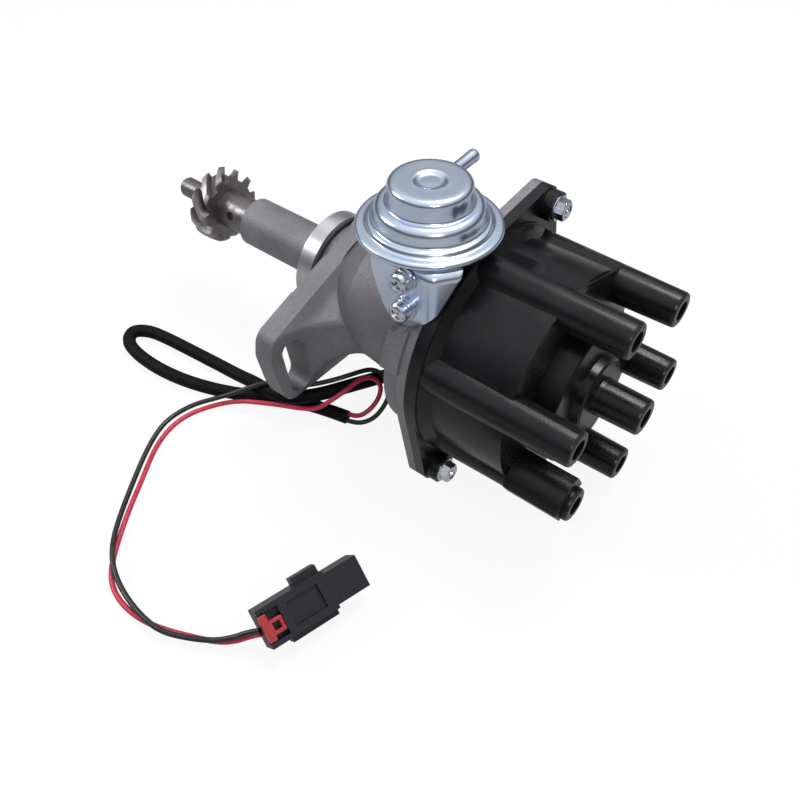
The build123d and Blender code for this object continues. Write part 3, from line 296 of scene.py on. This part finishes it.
# %% canister cover
CAN_X, CAN_Y = -88.8, -15.8         # the canister's axis
FLANGE_TOP = 58.8
UP = Vector((0, 0, 1))
DRAWN_SHEET = 0.8
NECK_R, NECK_HOLE_R = 7.0, 3.6
drawn = [
    (0, 17.45), (2.6, 17.4), (4.2, 17.35), (5.2, 17.6), (6.0, 18.15), (6.9, 18.42), (8.2, 18.4),
    (11.0, 18.4), (13.6, 18.38), (14.9, 18.15), (15.8, 17.5), (16.3, 16.6), (16.5, 15.4), (16.55, 13.0),
    (16.7, 11.2), (16.95, 10.2), (17.5, 9.65), (18.2, 9.6), (19.2, 9.45), (20.2, 8.95), (21.0, 8.1),
    (21.5, 7.0), (21.75, 5.7), (21.95, 4.3), (22.3, 3.2), (22.9, 2.6), (23.6, 2.45), (24.2, 2.1),
    (24.6, 1.4), (25.0, 0.85), (25.8, 0.6), (27.0, 0.55), (28.0, 0.4), (28.7, -0.1), (29.0, -0.8)]
outside = through(drawn, 3)
inside = []
for before, here, after in zip([outside[0], *outside], outside, [*outside[1:], outside[-1]]):
    along_line = (after - before).normalized()
    inside.append(here + Vector((-along_line.y, along_line.x)) * -DRAWN_SHEET)
inside[0].x = 0
cover = turned_sheet("drawn_cover", [*outside, Vector((28.9, -1.5)), *reversed(inside)],
                     from_axis(CAN_X, CAN_Y, FLANGE_TOP), UP)
stand_in(cover, "canister_cover")

# %% canister pan
pan = turned_sheet("canister_pan", [
    (NECK_HOLE_R, -2.5), (22.0, -2.5), (24.6, -2.35), (26.6, -1.95), (27.8, -1.75), (28.3, -1.45), (28.0, -1.1),
    (26.0, -1.15), (24.0, -1.5), (NECK_HOLE_R, -1.6)], from_axis(CAN_X, CAN_Y, FLANGE_TOP), UP)
neck = turned_sheet("canister_neck", [
    (NECK_HOLE_R, 0), (NECK_R - 0.4, 0), (NECK_R, 0.4), (NECK_R, 2.7), (NECK_HOLE_R, 2.7)],
    from_axis(CAN_X, CAN_Y, 53.6), UP, 64)
for part in (pan, neck):
    stand_in(part, "canister_base")

# %% hose nipple
lean = math.radians(93)
out_way = Vector((math.cos(lean), math.sin(lean), 0))
nipple = turned_sheet("hose_tube", [
    (2.62, -1.5), (2.62, 11.6), (2.73, 12.4), (2.75, 14.0), (2.68, 14.8), (2.45, 15.1), (1.8, 15.1),
    (1.6, 14.8), (1.55, 14.0), (1.55, -1.5)], from_axis(CAN_X, CAN_Y, 72.9) + out_way * 15.4 * MM, out_way, 40)
stand_in(nipple, "hose_nipple")

# %% [markdown]
# ## Canister bracket
# The bracket is one pressed blank: a plate on the housing, a wing bent back on the right and a
# shelf folded over at the top, all meeting in one rounded corner. A corner like that is a sheet
# whose rows follow the plate round the bend, and whose last rows roll inwards over the top.

# %% bracket
BEND_R, ROLL_R, PLATE = 5.0, 4.2, 2.1
BRACKET_X, BRACKET_Y = -80.5, -41       # the plate's middle line and its outer face
BRACKET_Z = 54.8            # the height that the bracket's own heights start from
CORNER = 11.5               # where plate and wing would meet if the bend had no radius
SHELF = 1.5                 # height of the shelf's top
ACROSS = 48                 # cells from the left edge to the right one
bend_turn = math.radians(55)
bend_start = CORNER - BEND_R * math.tan(bend_turn / 2)
left_edge = [(-27.0, -1.9), (-26.4, -5.6), (-24.6, -8.6), (-21.2, -11.0), (-17.4, -12.9), (-12.0, -14.9),
             (-6.8, -16.4), (SHELF, -16.9)]
right_edge = [(-27.0, -1.5), (-26.6, 1.8), (-25.0, 5.4), (-22.4, 8.4), (-19.4, 11.2), (-16.6, 14.6),
              (-8.0, 19.4), (SHELF, 24.5)]


def edge_at(edge, z):
    """Distance of an edge from the plate's middle at this height."""
    for (z0, s0), (z1, s1) in zip(edge, edge[1:]):
        if z <= z1:
            return s0 + (s1 - s0) * (z - z0) / (z1 - z0)
    return edge[-1][1]


def round_bend(s):
    """Place (x, y) and outward normal at distance s along plate, bend and wing."""
    arc = BEND_R * bend_turn
    if s < bend_start:
        return Vector((s, 0)), Vector((0, -1))
    turn_now = min((s - bend_start) / BEND_R, bend_turn)
    normal = Vector((math.sin(turn_now), -math.cos(turn_now)))
    spot = Vector((bend_start, BEND_R)) + normal * BEND_R
    beyond = max(0.0, s - bend_start - arc)
    return spot + Vector((math.cos(bend_turn), math.sin(bend_turn))) * beyond, normal


# each row is (height, how far it lies inwards): the foot's arc, the plate, the roll and the shelf
rows = [(z, 0.0) for z in (-27.0, -26.9, -26.7, -26.4, -26.0, -25.4, -24.6, -23.6)]
rows += [(-22.4 + 0.85 * i, 0.0) for i in range(24)]
rows += [(SHELF - ROLL_R + ROLL_R * math.sin(a), ROLL_R * (1 - math.cos(a)))
         for a in (math.radians(9 * i) for i in range(11))]
rows += [(SHELF, ROLL_R + 3.0 * i) for i in (1, 2)]
bm = bmesh.new()
grid = []
for z, inward in rows:
    a, b = edge_at(left_edge, z), edge_at(right_edge, z)
    line = []
    for i in range(ACROSS + 1):
        spot, normal = round_bend(a + (b - a) * i / ACROSS)
        spot = spot - normal * inward
        line.append(bm.verts.new(from_axis(BRACKET_X + spot.x, BRACKET_Y + spot.y, BRACKET_Z + z)))
    grid.append(line)
for a, b in zip(grid, grid[1:]):
    for i in range(ACROSS):
        bm.faces.new((a[i], a[i + 1], b[i + 1], b[i]))
bmesh.ops.remove_doubles(bm, verts=bm.verts, dist=0.01 * MM)
pressed_mesh = finished_mesh("pressed_bracket", bm)
pressed_mesh.shade_smooth()
pressed = plain_object("pressed_bracket", pressed_mesh)
if sum(face.normal.y * face.area for face in pressed_mesh.polygons) > 0:
    pressed_mesh.flip_normals()     # the thickness goes in from the outer side
thick = pressed.modifiers.new("thickness", "SOLIDIFY")
thick.thickness, thick.offset, thick.use_quality_normals = PLATE * MM, -1, True
soft_rim = pressed.modifiers.new("rim", "BEVEL")
soft_rim.width, soft_rim.segments = 0.25 * MM, 2
soft_rim.limit_method, soft_rim.angle_limit = "ANGLE", math.radians(60)
stand_in(pressed, "bracket")
print("bracket rows", len(rows))

# %% [markdown]
# ## Shader maths
# A finish is a small sum over noise and position. One class stands for a socket and lets Python
# write the sum; the other makes nodes and returns that class.


# %% shader helpers
class Reading:
    """One output of a shader node that Python can do sums with."""

    def __init__(self, finish, socket):
        self.finish, self.socket = finish, socket

    def sum(self, operation, *values, first=None):
        own = (self,) if first is None else (first, self)
        return self.finish.node("ShaderNodeMath", {"operation": operation}, *own, *values)

    def __add__(self, other):
        return self.sum("ADD", other)

    def __mul__(self, other):
        return self.sum("MULTIPLY", other)

    def __sub__(self, other):
        return self.sum("SUBTRACT", other)

    def __rsub__(self, other):
        return self.sum("SUBTRACT", first=other)

    def __gt__(self, other):
        return self.sum("GREATER_THAN", other)

    def __lt__(self, other):
        return self.sum("LESS_THAN", other)

    def __pow__(self, other):
        return self.sum("POWER", other)

    __radd__ = __add__
    __rmul__ = __mul__

    def out(self, name):
        return Reading(self.finish, self.socket.node.outputs[name])


class Finish:
    """A material that is built one node at a time."""

    def __init__(self, name, roughness=0.5, metallic=0.0, **shader):
        self.material = bpy.data.materials.new(name)
        self.material.use_nodes = True
        self.tree = self.material.node_tree
        self.shader = self.tree.nodes["Principled BSDF"]
        self.set(Roughness=roughness, Metallic=metallic)
        self.set(**shader)

    def node(self, kind, settings=None, *values, **named):
        made = self.tree.nodes.new(kind)
        for key, value in (settings or {}).items():
            if key == "stops":
                ramp = made.color_ramp
                while len(ramp.elements) < len(value):
                    ramp.elements.new(0.5)
                for element, (place, colour) in zip(ramp.elements, value):
                    element.position, element.color = place, colour
            else:
                setattr(made, key, value)
        by_name = ((made.inputs[key.replace("_", " ")], value) for key, value in named.items())
        for socket, value in [*zip(made.inputs, values), *by_name]:
            self.plug(socket, value)
        return Reading(self, next(s for s in made.outputs if s.enabled))

    def plug(self, socket, value):
        if isinstance(value, Reading):
            self.tree.links.new(value.socket, socket)
        else:
            socket.default_value = value

    def set(self, **inputs):
        for key, value in inputs.items():
            self.plug(self.shader.inputs[key.replace("_", " ")], value)

    def place(self):
        return self.node("ShaderNodeTexCoord").out("Object")

    def noise(self, scale, detail=4.0, rough=0.5, stretch=(1, 1, 1)):
        """Noise on object coordinates: scale is features per metre."""
        spot = self.node("ShaderNodeMapping", {}, self.place(), Scale=stretch)
        return self.node("ShaderNodeTexNoise", {}, Vector=spot, Scale=scale, Detail=detail, Roughness=rough)

    def span(self, value, low, high, to_low=0.0, to_high=1.0):
        """Maps low..high of a value to to_low..to_high and clamps it."""
        return self.node("ShaderNodeMapRange", {"clamp": True}, value, low, high, to_low, to_high)

    def blend(self, factor, a, b):
        made = self.tree.nodes.new("ShaderNodeMix")
        made.data_type = "RGBA"
        for socket, value in ((made.inputs[0], factor), (made.inputs[6], a), (made.inputs[7], b)):
            self.plug(socket, value)
        return Reading(self, made.outputs[2])

    def bump(self, height, distance, strength=1.0):
        self.set(Normal=self.node("ShaderNodeBump", {}, Height=height, Distance=distance, Strength=strength))


def paint(finish, *names):
    """Gives CAD nodes or pieces this finish."""
    for name in names:
        piece = nodes.get(name) or bpy.data.objects[name]
        piece.data.materials.clear()
        piece.data.materials.append(finish.material)


# %% [markdown]
# ## Cast aluminium
# The body is a pressure casting, blasted to a fine grey grain. Only the pilot collar is turned
# bright, so one finish holds both: a mask on the place along the shaft axis picks the collar,
# and fine rings round the axis stand for the lathe's feed marks there.

# %% cast aluminium
cast = Finish("cast_aluminium")
spot = cast.node("ShaderNodeSeparateXYZ", {}, cast.place())
along, across, height = spot.out("X"), spot.out("Y"), spot.out("Z")
from_shaft = ((across - AXIS.y) ** 2 + (height - AXIS.z) ** 2) ** 0.5
collar = (along < from_axis(-149.9, 0, 0).x) * (along > from_axis(-158.1, 0, 0).x) * (from_shaft > 20.5 * MM)
grain = cast.noise(2400, 3.0, 0.65)
clouds = cast.noise(45, 3.0, 0.55)
pits = cast.span(cast.noise(700, 2.0, 0.5), 0.26, 0.34, 1.0, 0.0)
skin = cast.blend(cast.span(grain * 0.7 + clouds * 0.3, 0.36, 0.62),
                  (0.13, 0.127, 0.138, 1), (0.25, 0.245, 0.264, 1))
skin = cast.blend(pits * 0.5, skin, (0.1, 0.098, 0.105, 1))
feed = cast.node("ShaderNodeMath", {"operation": "SINE"}, along * 26000)
turned = cast.blend(cast.span(feed, -1, 1), (0.5, 0.49, 0.52, 1), (0.66, 0.65, 0.68, 1))
cast.set(Base_Color=cast.blend(collar, skin, turned),
         Metallic=cast.span(collar, 0, 1, 0.55, 1.0),
         Roughness=cast.span(collar, 0, 1, 0.52, 0.3))
cast.bump(grain * (1 - collar) + pits * -0.6 * (1 - collar) + feed * 0.08 * collar, 0.00012)
paint(cast, "housing")
print("aluminium nodes", len(cast.tree.nodes))

# %% [markdown]
# ## Cap plastic
# A distributor cap is a hard black moulding. It is nearly black, and what the eye sees is its
# gloss, so the roughness varies a little and a slow ripple bends the highlights as shrinkage does.

# %% cap plastic
cap_black = Finish("cap_plastic", roughness=0.3, Specular_IOR_Level=0.3)
haze = cap_black.noise(60, 4.0, 0.6)
speck = cap_black.noise(1500, 2.0, 0.5)
cap_black.set(Base_Color=cap_black.blend(haze, (0.004, 0.004, 0.005, 1), (0.01, 0.01, 0.012, 1)),
              Roughness=cap_black.span(haze + speck * 0.3, 0.4, 0.9, 0.2, 0.36))
cap_black.bump(cap_black.noise(28, 2.0, 0.4) * 0.9 + speck * 0.06, 0.0004)
paint(cap_black, "cap")

# %% [markdown]
# ## Zinc plate
# The canister and its bracket are pressed steel with a bright blue-white zinc plate. Zinc shows a
# soft mirror, faint clouds from blue to straw, and fine lines left by the press and the barrel.

# %% zinc plate
def zinc_finish(name, blue, straw, rough):
    """Bright zinc plate between two tints: the pressed parts and the screws differ only in those."""
    made = Finish(name, metallic=1.0)
    tint = made.noise(38, 3.0, 0.5)
    brushed = made.noise(420, 3.0, 0.6, stretch=(5, 5, 0.5))
    made.set(Base_Color=made.blend(made.span(tint, 0.35, 0.65), blue, straw),
             Roughness=made.span(brushed, 0.3, 0.7, rough, rough + 0.03))
    return made


zinc = zinc_finish("zinc_steel", (0.54, 0.66, 0.84, 1), (0.68, 0.76, 0.87, 1), 0.22)
paint(zinc, "pull_rod", "pickup_plate", "drawn_cover", "hose_tube", "pressed_bracket", "canister_pan",
      "canister_neck")
print("zinc nodes", len(zinc.tree.nodes))

# %% [markdown]
# ## Screws
# Four screws show: two pan heads with lock washers hold the canister's bracket, and two hexagon
# heads hold the cap. Each kind is turned from a profile once, with a cross cut into it, and a
# small node tree then puts a copy on every seat, because that is how screws repeat. A fixed seed
# turns each cross its own way, as a screwdriver would leave it.

# %% turned profiles and the cross recess
HEX_ACROSS = 8.0            # across the flats of a hexagon head


def turned_solid(bm, profile, sides=40, flats=0):
    """Adds a solid turned about Z from (radius, z) pairs; flats cuts a prism with that many sides."""
    rings = []
    for r, z in profile:
        ring = []
        for i in range(sides):
            a = 2 * math.pi * i / sides
            reach = r
            if flats:
                step = 2 * math.pi / flats
                reach = min(r, HEX_ACROSS / 2 / math.cos((a % step) - step / 2))
            ring.append(bm.verts.new((reach * math.cos(a) * MM, reach * math.sin(a) * MM, z * MM)))
        rings.append(ring)
    for a, b in zip(rings, rings[1:]):
        for i in range(sides):
            bm.faces.new((a[i], a[(i + 1) % sides], b[(i + 1) % sides], b[i]))
    bm.faces.new(list(reversed(rings[0])))
    bm.faces.new(rings[-1])


def cross_cutter(top, depth, reach):
    """A tapered cross that is cut out of a head whose top is at this height."""
    half = 0.55             # of a slot's width
    bm = bmesh.new()
    for turn in (0, math.pi / 2):
        for z, k in ((top + 1, 1.15), (top - depth, 0.5)):
            for x, y in ((reach * k, half * k), (-reach * k, half * k), (-reach * k, -half * k),
                         (reach * k, -half * k)):
                bm.verts.new(((x * math.cos(turn) - y * math.sin(turn)) * MM,
                              (x * math.sin(turn) + y * math.cos(turn)) * MM, z * MM))
    bm.verts.ensure_lookup_table()
    for n in (0, 8):
        v = bm.verts[n:n + 8]
        bm.faces.new(v[:4])
        bm.faces.new(list(reversed(v[4:])))
        for i in range(4):
            bm.faces.new((v[i], v[4 + i], v[4 + (i + 1) % 4], v[(i + 1) % 4]))
    return plain_object("cutter", finished_mesh("cutter", bm))


def with_cross(name, bm, top, depth, reach):
    """Makes a screw of the turned solids and cuts the cross into its head."""
    made = plain_object(name, finished_mesh(name, bm))
    cutter = cross_cutter(top, depth, reach)
    cut = made.modifiers.new("cross", "BOOLEAN")
    cut.object, cut.solver, cut.use_self = cutter, "EXACT", True
    result = evaluated_mesh(made)
    made.modifiers.clear()
    made.data = result
    bpy.data.objects.remove(cutter)
    return made


# %% one screw of each kind
bm = bmesh.new()
turned_solid(bm, [(2.3, 0), (5.05, 0), (5.2, 0.15), (5.2, 0.85), (5.05, 1.0), (2.3, 1.0)])
turned_solid(bm, [(2.3, 1.0), (4.35, 1.0), (4.5, 1.1), (4.5, 2.1), (4.35, 2.25), (2.3, 2.25)], 36)
turned_solid(bm, [(2.2, 2.0), (4.0, 2.25), (4.2, 2.45), (4.2, 4.3), (4.05, 4.9), (3.6, 5.4), (2.9, 5.75),
                  (1.8, 5.95), (0.6, 6.0)])
pan_screw = with_cross("pan_screw", bm, 6.0, 2.0, 2.5)
bm = bmesh.new()
turned_solid(bm, [(2.3, 0), (5.4, 0), (5.6, 0.2), (5.6, 0.8), (5.2, 1.1), (2.3, 1.1)])
turned_solid(bm, [(2.5, 0.9), (4.62, 1.1), (4.62, 4.0), (4.3, 4.35), (3.8, 4.6), (2.7, 4.7), (2.3, 4.2),
                  (0.5, 3.9)], 48, 6)
hex_screw = with_cross("hex_screw", bm, 4.1, 1.4, 1.9)
print("screw faces", len(pan_screw.data.polygons), len(hex_screw.data.polygons))


# %% node tree that seats the screws
def seating_tree():
    """Copies a screw onto each seat, turned by chance about its own axis, and plates it."""
    tree = bpy.data.node_groups.new("seat_screws", "GeometryNodeTree")
    named = {}
    for name, kind in (("Seats", "NodeSocketGeometry"), ("Screw", "NodeSocketObject"),
                       ("Facing", "NodeSocketRotation"), ("Seed", "NodeSocketInt"),
                       ("Plate", "NodeSocketMaterial")):
        named[name] = tree.interface.new_socket(name=name, in_out="INPUT", socket_type=kind).identifier
    tree.interface.new_socket(name="Screws", in_out="OUTPUT", socket_type="NodeSocketGeometry")
    given, result = tree.nodes.new("NodeGroupInput"), tree.nodes.new("NodeGroupOutput")
    copy = tree.nodes.new("GeometryNodeObjectInfo")
    put = tree.nodes.new("GeometryNodeInstanceOnPoints")
    chance = tree.nodes.new("FunctionNodeRandomValue")
    spin = tree.nodes.new("FunctionNodeAxisAngleToRotation")
    turn_on = tree.nodes.new("FunctionNodeRotateRotation")
    real, coat = tree.nodes.new("GeometryNodeRealizeInstances"), tree.nodes.new("GeometryNodeSetMaterial")
    chance.data_type = "FLOAT"
    chance.inputs[3].default_value = 2 * math.pi
    turn_on.rotation_space = "LOCAL"
    for a, b in ((given.outputs["Seats"], put.inputs["Points"]),
                 (given.outputs["Screw"], copy.inputs["Object"]),
                 (copy.outputs["Geometry"], put.inputs["Instance"]),
                 (given.outputs["Seed"], chance.inputs["Seed"]),
                 (chance.outputs[1], spin.inputs["Angle"]),
                 (given.outputs["Facing"], turn_on.inputs[0]),
                 (spin.outputs[0], turn_on.inputs[1]),
                 (turn_on.outputs[0], put.inputs["Rotation"]),
                 (put.outputs[0], real.inputs[0]),
                 (real.outputs[0], coat.inputs["Geometry"]),
                 (given.outputs["Plate"], coat.inputs["Material"]),
                 (coat.outputs[0], result.inputs[0])):
        tree.links.new(a, b)
    return tree, named


seat_tree, seat_input = seating_tree()


def seat_screws(name, screw, seats, facing, seed, replaced):
    """Puts one screw on every seat (axis frame, millimetres) and leaves one plain mesh."""
    mesh = bpy.data.meshes.new(name)
    mesh.from_pydata([from_axis(*seat) for seat in seats], [], [])
    holder = plain_object(name + "_seats", mesh)
    work = holder.modifiers.new("seats", "NODES")
    work.node_group = seat_tree
    for key, value in (("Screw", screw), ("Facing", facing), ("Seed", seed), ("Plate", screw_zinc.material)):
        work[seat_input[key]] = value
    made = plain_object(name, evaluated_mesh(holder))
    bpy.data.objects.remove(holder)
    stand_in(made, replaced)
    print(name, len(made.data.polygons), "faces")


# %% seat them
screw_zinc = zinc_finish("screw_zinc", (0.56, 0.6, 0.68, 1), (0.68, 0.7, 0.74, 1), 0.22)
seat_screws("bracket_screw_heads", pan_screw, [(BRACKET_X, BRACKET_Y, h) for h in (37.1, 51.0)],
            facing=(math.pi / 2, 0, 0), seed=3, replaced="bracket_screws")
seat_screws("cap_screw_heads", hex_screw, [(-62, 36.03, 49.59), (-62, -36.03, -49.59)],
            facing=(0, math.pi / 2, 0), seed=8, replaced="cap_screws")
for master in (pan_screw, hex_screw):
    bpy.data.objects.remove(master)

# %% [markdown]
# ## Steel of the gear and the shaft
# The gear is cut from a forged blank and left oiled: dull brown-grey flanks. The shade in the gaps
# between the teeth is painted in: the distance from the shaft axis paints the roots darker and the tips
# lighter.

# %% gear steel
gear_steel = Finish("gear_steel", metallic=0.9)
spot = gear_steel.node("ShaderNodeSeparateXYZ", {}, gear_steel.place())
from_shaft = ((spot.out("Y") - AXIS.y) ** 2 + (spot.out("Z") - AXIS.z) ** 2) ** 0.5
# painted shade: the tooth roots are painted darker and the tips lighter, for the shade in the gaps between the
# teeth
tip_light_mask = gear_steel.span(from_shaft, 15.5 * MM, 18.3 * MM)
mottle = gear_steel.noise(420, 4.0, 0.65)
gap_shade_tone = gear_steel.blend(tip_light_mask, (0.21, 0.195, 0.195, 1), (0.42, 0.40, 0.405, 1))
gear_steel.set(Base_Color=gear_steel.blend(gear_steel.span(mottle, 0.35, 0.65) * 0.45,
                                           gap_shade_tone, (0.12, 0.11, 0.11, 1)),
               Roughness=gear_steel.span(mottle, 0.3, 0.7, 0.3, 0.5))
gear_steel.bump(mottle, 0.00012)
paint(gear_steel, "drive_gear", "drive_shaft")

# %% pin steel
pin_steel = Finish("pin_steel", metallic=0.9)
scale_marks = pin_steel.noise(900, 3.0, 0.6)
pin_steel.set(Base_Color=pin_steel.blend(scale_marks, (0.03, 0.028, 0.03, 1), (0.12, 0.11, 0.11, 1)),
              Roughness=pin_steel.span(scale_marks, 0.3, 0.7, 0.3, 0.5))
paint(pin_steel, "gear_pin")

# %% [markdown]
# ## Inside pieces
# Nobody sees these until the cap comes off, but the model can be opened, so each still gets a
# finish: ground steel, sintered bronze, brass and rubber, which the carbon brush shares.

# %% inside pieces
def grained(name, dark, light, rough, metal, scale, depth, shine=0.5):
    """A finish between two tones of one colour, with grain at the given scale per metre."""
    made = Finish(name, metallic=metal, Specular_IOR_Level=shine)
    field = made.noise(scale, 3.0, 0.6)
    made.set(Base_Color=made.blend(made.span(field, 0.3, 0.7), dark, light),
             Roughness=made.span(field, 0.3, 0.7, rough, rough + 0.12))
    made.bump(field, depth)
    return made


steel = grained("plain_steel", (0.36, 0.36, 0.37, 1), (0.5, 0.5, 0.51, 1), 0.26, 1.0, 900, 0.00003)
paint(steel, "thrust_washer", "advance_plate", "flyweight_a", "flyweight_b", "cam_sleeve", "reluctor",
      "bearing_ring", "pickup_pole", "advance_spring_a", "advance_spring_b", "canister_spring", "brush_spring")
bronze = grained("bronze_bush", (0.4, 0.26, 0.12, 1), (0.56, 0.38, 0.19, 1), 0.38, 1.0, 1600, 0.00004)
paint(bronze, "lower_bushing", "upper_bushing")
brass = grained("brass", (0.6, 0.43, 0.18, 1), (0.74, 0.55, 0.26, 1), 0.26, 1.0, 700, 0.00002)
paint(brass, "terminal_inserts", "center_terminal", "rotor_contact")
rubber = grained("seal_rubber", (0.008, 0.008, 0.009, 1), (0.022, 0.022, 0.024, 1), 0.5, 0.0, 1300, 0.00006)
paint(rubber, "o_ring", "cap_gasket", "diaphragm", "cable_grommet", "carbon_brush")

# %% [markdown]
# ## Connector and cable
# The plug is a fine-textured black moulding with a red lock. The cable's sleeve is soft vinyl with
# a dull skin, and the two wires in it are thinner, harder and glossier.

# %% connector and cable
moulded = grained("connector_plastic", (0.008, 0.008, 0.011, 1), (0.02, 0.02, 0.026, 1),
                  0.34, 0.0, 1900, 0.00006, 0.32)
paint(moulded, "connector_socket", "connector_plug", "rotor_arm", "pickup_coil")
lock_red = grained("lock_plastic", (0.3, 0.018, 0.022, 1), (0.44, 0.03, 0.035, 1), 0.32, 0.0, 1200, 0.00003)
paint(lock_red, "lock_slide")
vinyl = grained("sleeve_vinyl", (0.003, 0.0033, 0.004, 1), (0.009, 0.0095, 0.011, 1),
                0.5, 0.0, 420, 0.0001, 0.08)
paint(vinyl, "sleeve")
red_vinyl = grained("wire_red_vinyl", (0.42, 0.018, 0.05, 1), (0.56, 0.03, 0.075, 1), 0.3, 0.0, 260, 0.00004)
paint(red_vinyl, "red_wire")
black_vinyl = grained("wire_black_vinyl", (0.006, 0.007, 0.007, 1), (0.018, 0.02, 0.02, 1),
                      0.3, 0.0, 260, 0.00004)
paint(black_vinyl, "black_wire")

# %% [markdown]
# ## Table, world and lamps
# The table is white to the camera and in reflections, through Light Path, and still holds a soft
# shadow. The world does the same, with a grey band near the horizon that bright metal needs:
# without something darker to mirror, zinc looks like paint.

# %% table
TABLE_HALF = 15             # metres, so that no view sees past its edge
TABLE_GAP = 0.0002          # what keeps the table just under the part
table_mesh = bpy.data.meshes.new("table")
table_mesh.from_pydata([(x * TABLE_HALF, y * TABLE_HALF, -TABLE_GAP)
                        for x, y in ((-1, -1), (1, -1), (1, 1), (-1, 1))], [], [(0, 1, 2, 3)])
table = plain_object("table", table_mesh)
table_white = Finish("table_white", roughness=0.9)
table_white.set(Base_Color=(0.85, 0.85, 0.86, 1))
rays = table_white.node("ShaderNodeLightPath")
mirrored_ray = rays.out("Is Glossy Ray") + rays.out("Is Transmission Ray")
seen = rays.out("Is Camera Ray") + mirrored_ray
mirror_loss = 0.55          # how much dimmer the table is in a reflection
glow = table_white.node("ShaderNodeEmission", {}, Color=(1, 1, 1, 1),
                        Strength=1.0 - (mirrored_ray > 0.5) * mirror_loss)
plain = Reading(table_white, table_white.shader.outputs[0])
both = table_white.node("ShaderNodeMixShader", {}, (seen > 0.5) * 0.9, plain, glow)
table_white.tree.links.new(both.socket, table_white.tree.nodes["Material Output"].inputs["Surface"])
table.data.materials.append(table_white.material)

# %% world
world = bpy.data.worlds.new("studio")
bpy.context.scene.world = world
world.use_nodes = True
sky = world.node_tree
SKY_STRENGTH = 0.42
light_level = sky.nodes["Background"]
light_level.inputs["Color"].default_value = (1, 1, 1, 1)
light_level.inputs["Strength"].default_value = SKY_STRENGTH
rays = sky.nodes.new("ShaderNodeLightPath")
direction = sky.nodes.new("ShaderNodeTexCoord")
split = sky.nodes.new("ShaderNodeSeparateXYZ")
sky.links.new(direction.outputs["Generated"], split.inputs[0])
ramp = sky.nodes.new("ShaderNodeValToRGB")
BLUER = 1.03                # the mirrored sky is this much stronger in blue
ends, between = ((0.0, 0.12), (0.85, 0.95)), ((0.28, 0.10), (0.42, 0.36), (0.62, 0.68))   # (height, grey)
for element, (place, grey) in zip(ramp.color_ramp.elements, ends):
    element.position, element.color = place, (grey, grey, grey * BLUER, 1)
for place, grey in between:
    element = ramp.color_ramp.elements.new(place)
    element.color = (grey, grey, grey * BLUER, 1)
sky.links.new(split.outputs["Z"], ramp.inputs[0])
mirrored = sky.nodes.new("ShaderNodeBackground")
sky.links.new(ramp.outputs[0], mirrored.inputs["Color"])
white = sky.nodes.new("ShaderNodeBackground")
white.inputs["Color"].default_value = (1, 1, 1, 1)
for factor, shader in (("Is Glossy Ray", mirrored), ("Is Transmission Ray", mirrored),
                       ("Is Camera Ray", white)):
    mix = sky.nodes.new("ShaderNodeMixShader")
    sky.links.new(rays.outputs[factor], mix.inputs[0])
    sky.links.new(sky.nodes["World Output"].inputs["Surface"].links[0].from_socket, mix.inputs[1])
    sky.links.new(shader.outputs[0], mix.inputs[2])
    sky.links.new(mix.outputs[0], sky.nodes["World Output"].inputs["Surface"])


# %% lamps
def lamp(name, place, size, power):
    """A round lamp that looks at the shaft axis: size in metres, power in watts."""
    data = bpy.data.lights.new(name, "AREA")
    data.shape = "DISK"
    data.size = size
    data.energy = power
    made = plain_object(name, data)
    made.location = place
    made.rotation_euler = (AXIS - Vector(place)).to_track_quat("-Z", "Y").to_euler()


lamp("overhead", (0.1, 0.35, 1.2), 0.55, 11)
lamp("side", (-0.9, -0.5, 0.75), 0.35, 4.5)
lamp("front", (0.9, -0.7, 0.8), 0.3, 2.4)

# %% colours are shown as written
bpy.context.scene.view_settings.view_transform = "Standard"
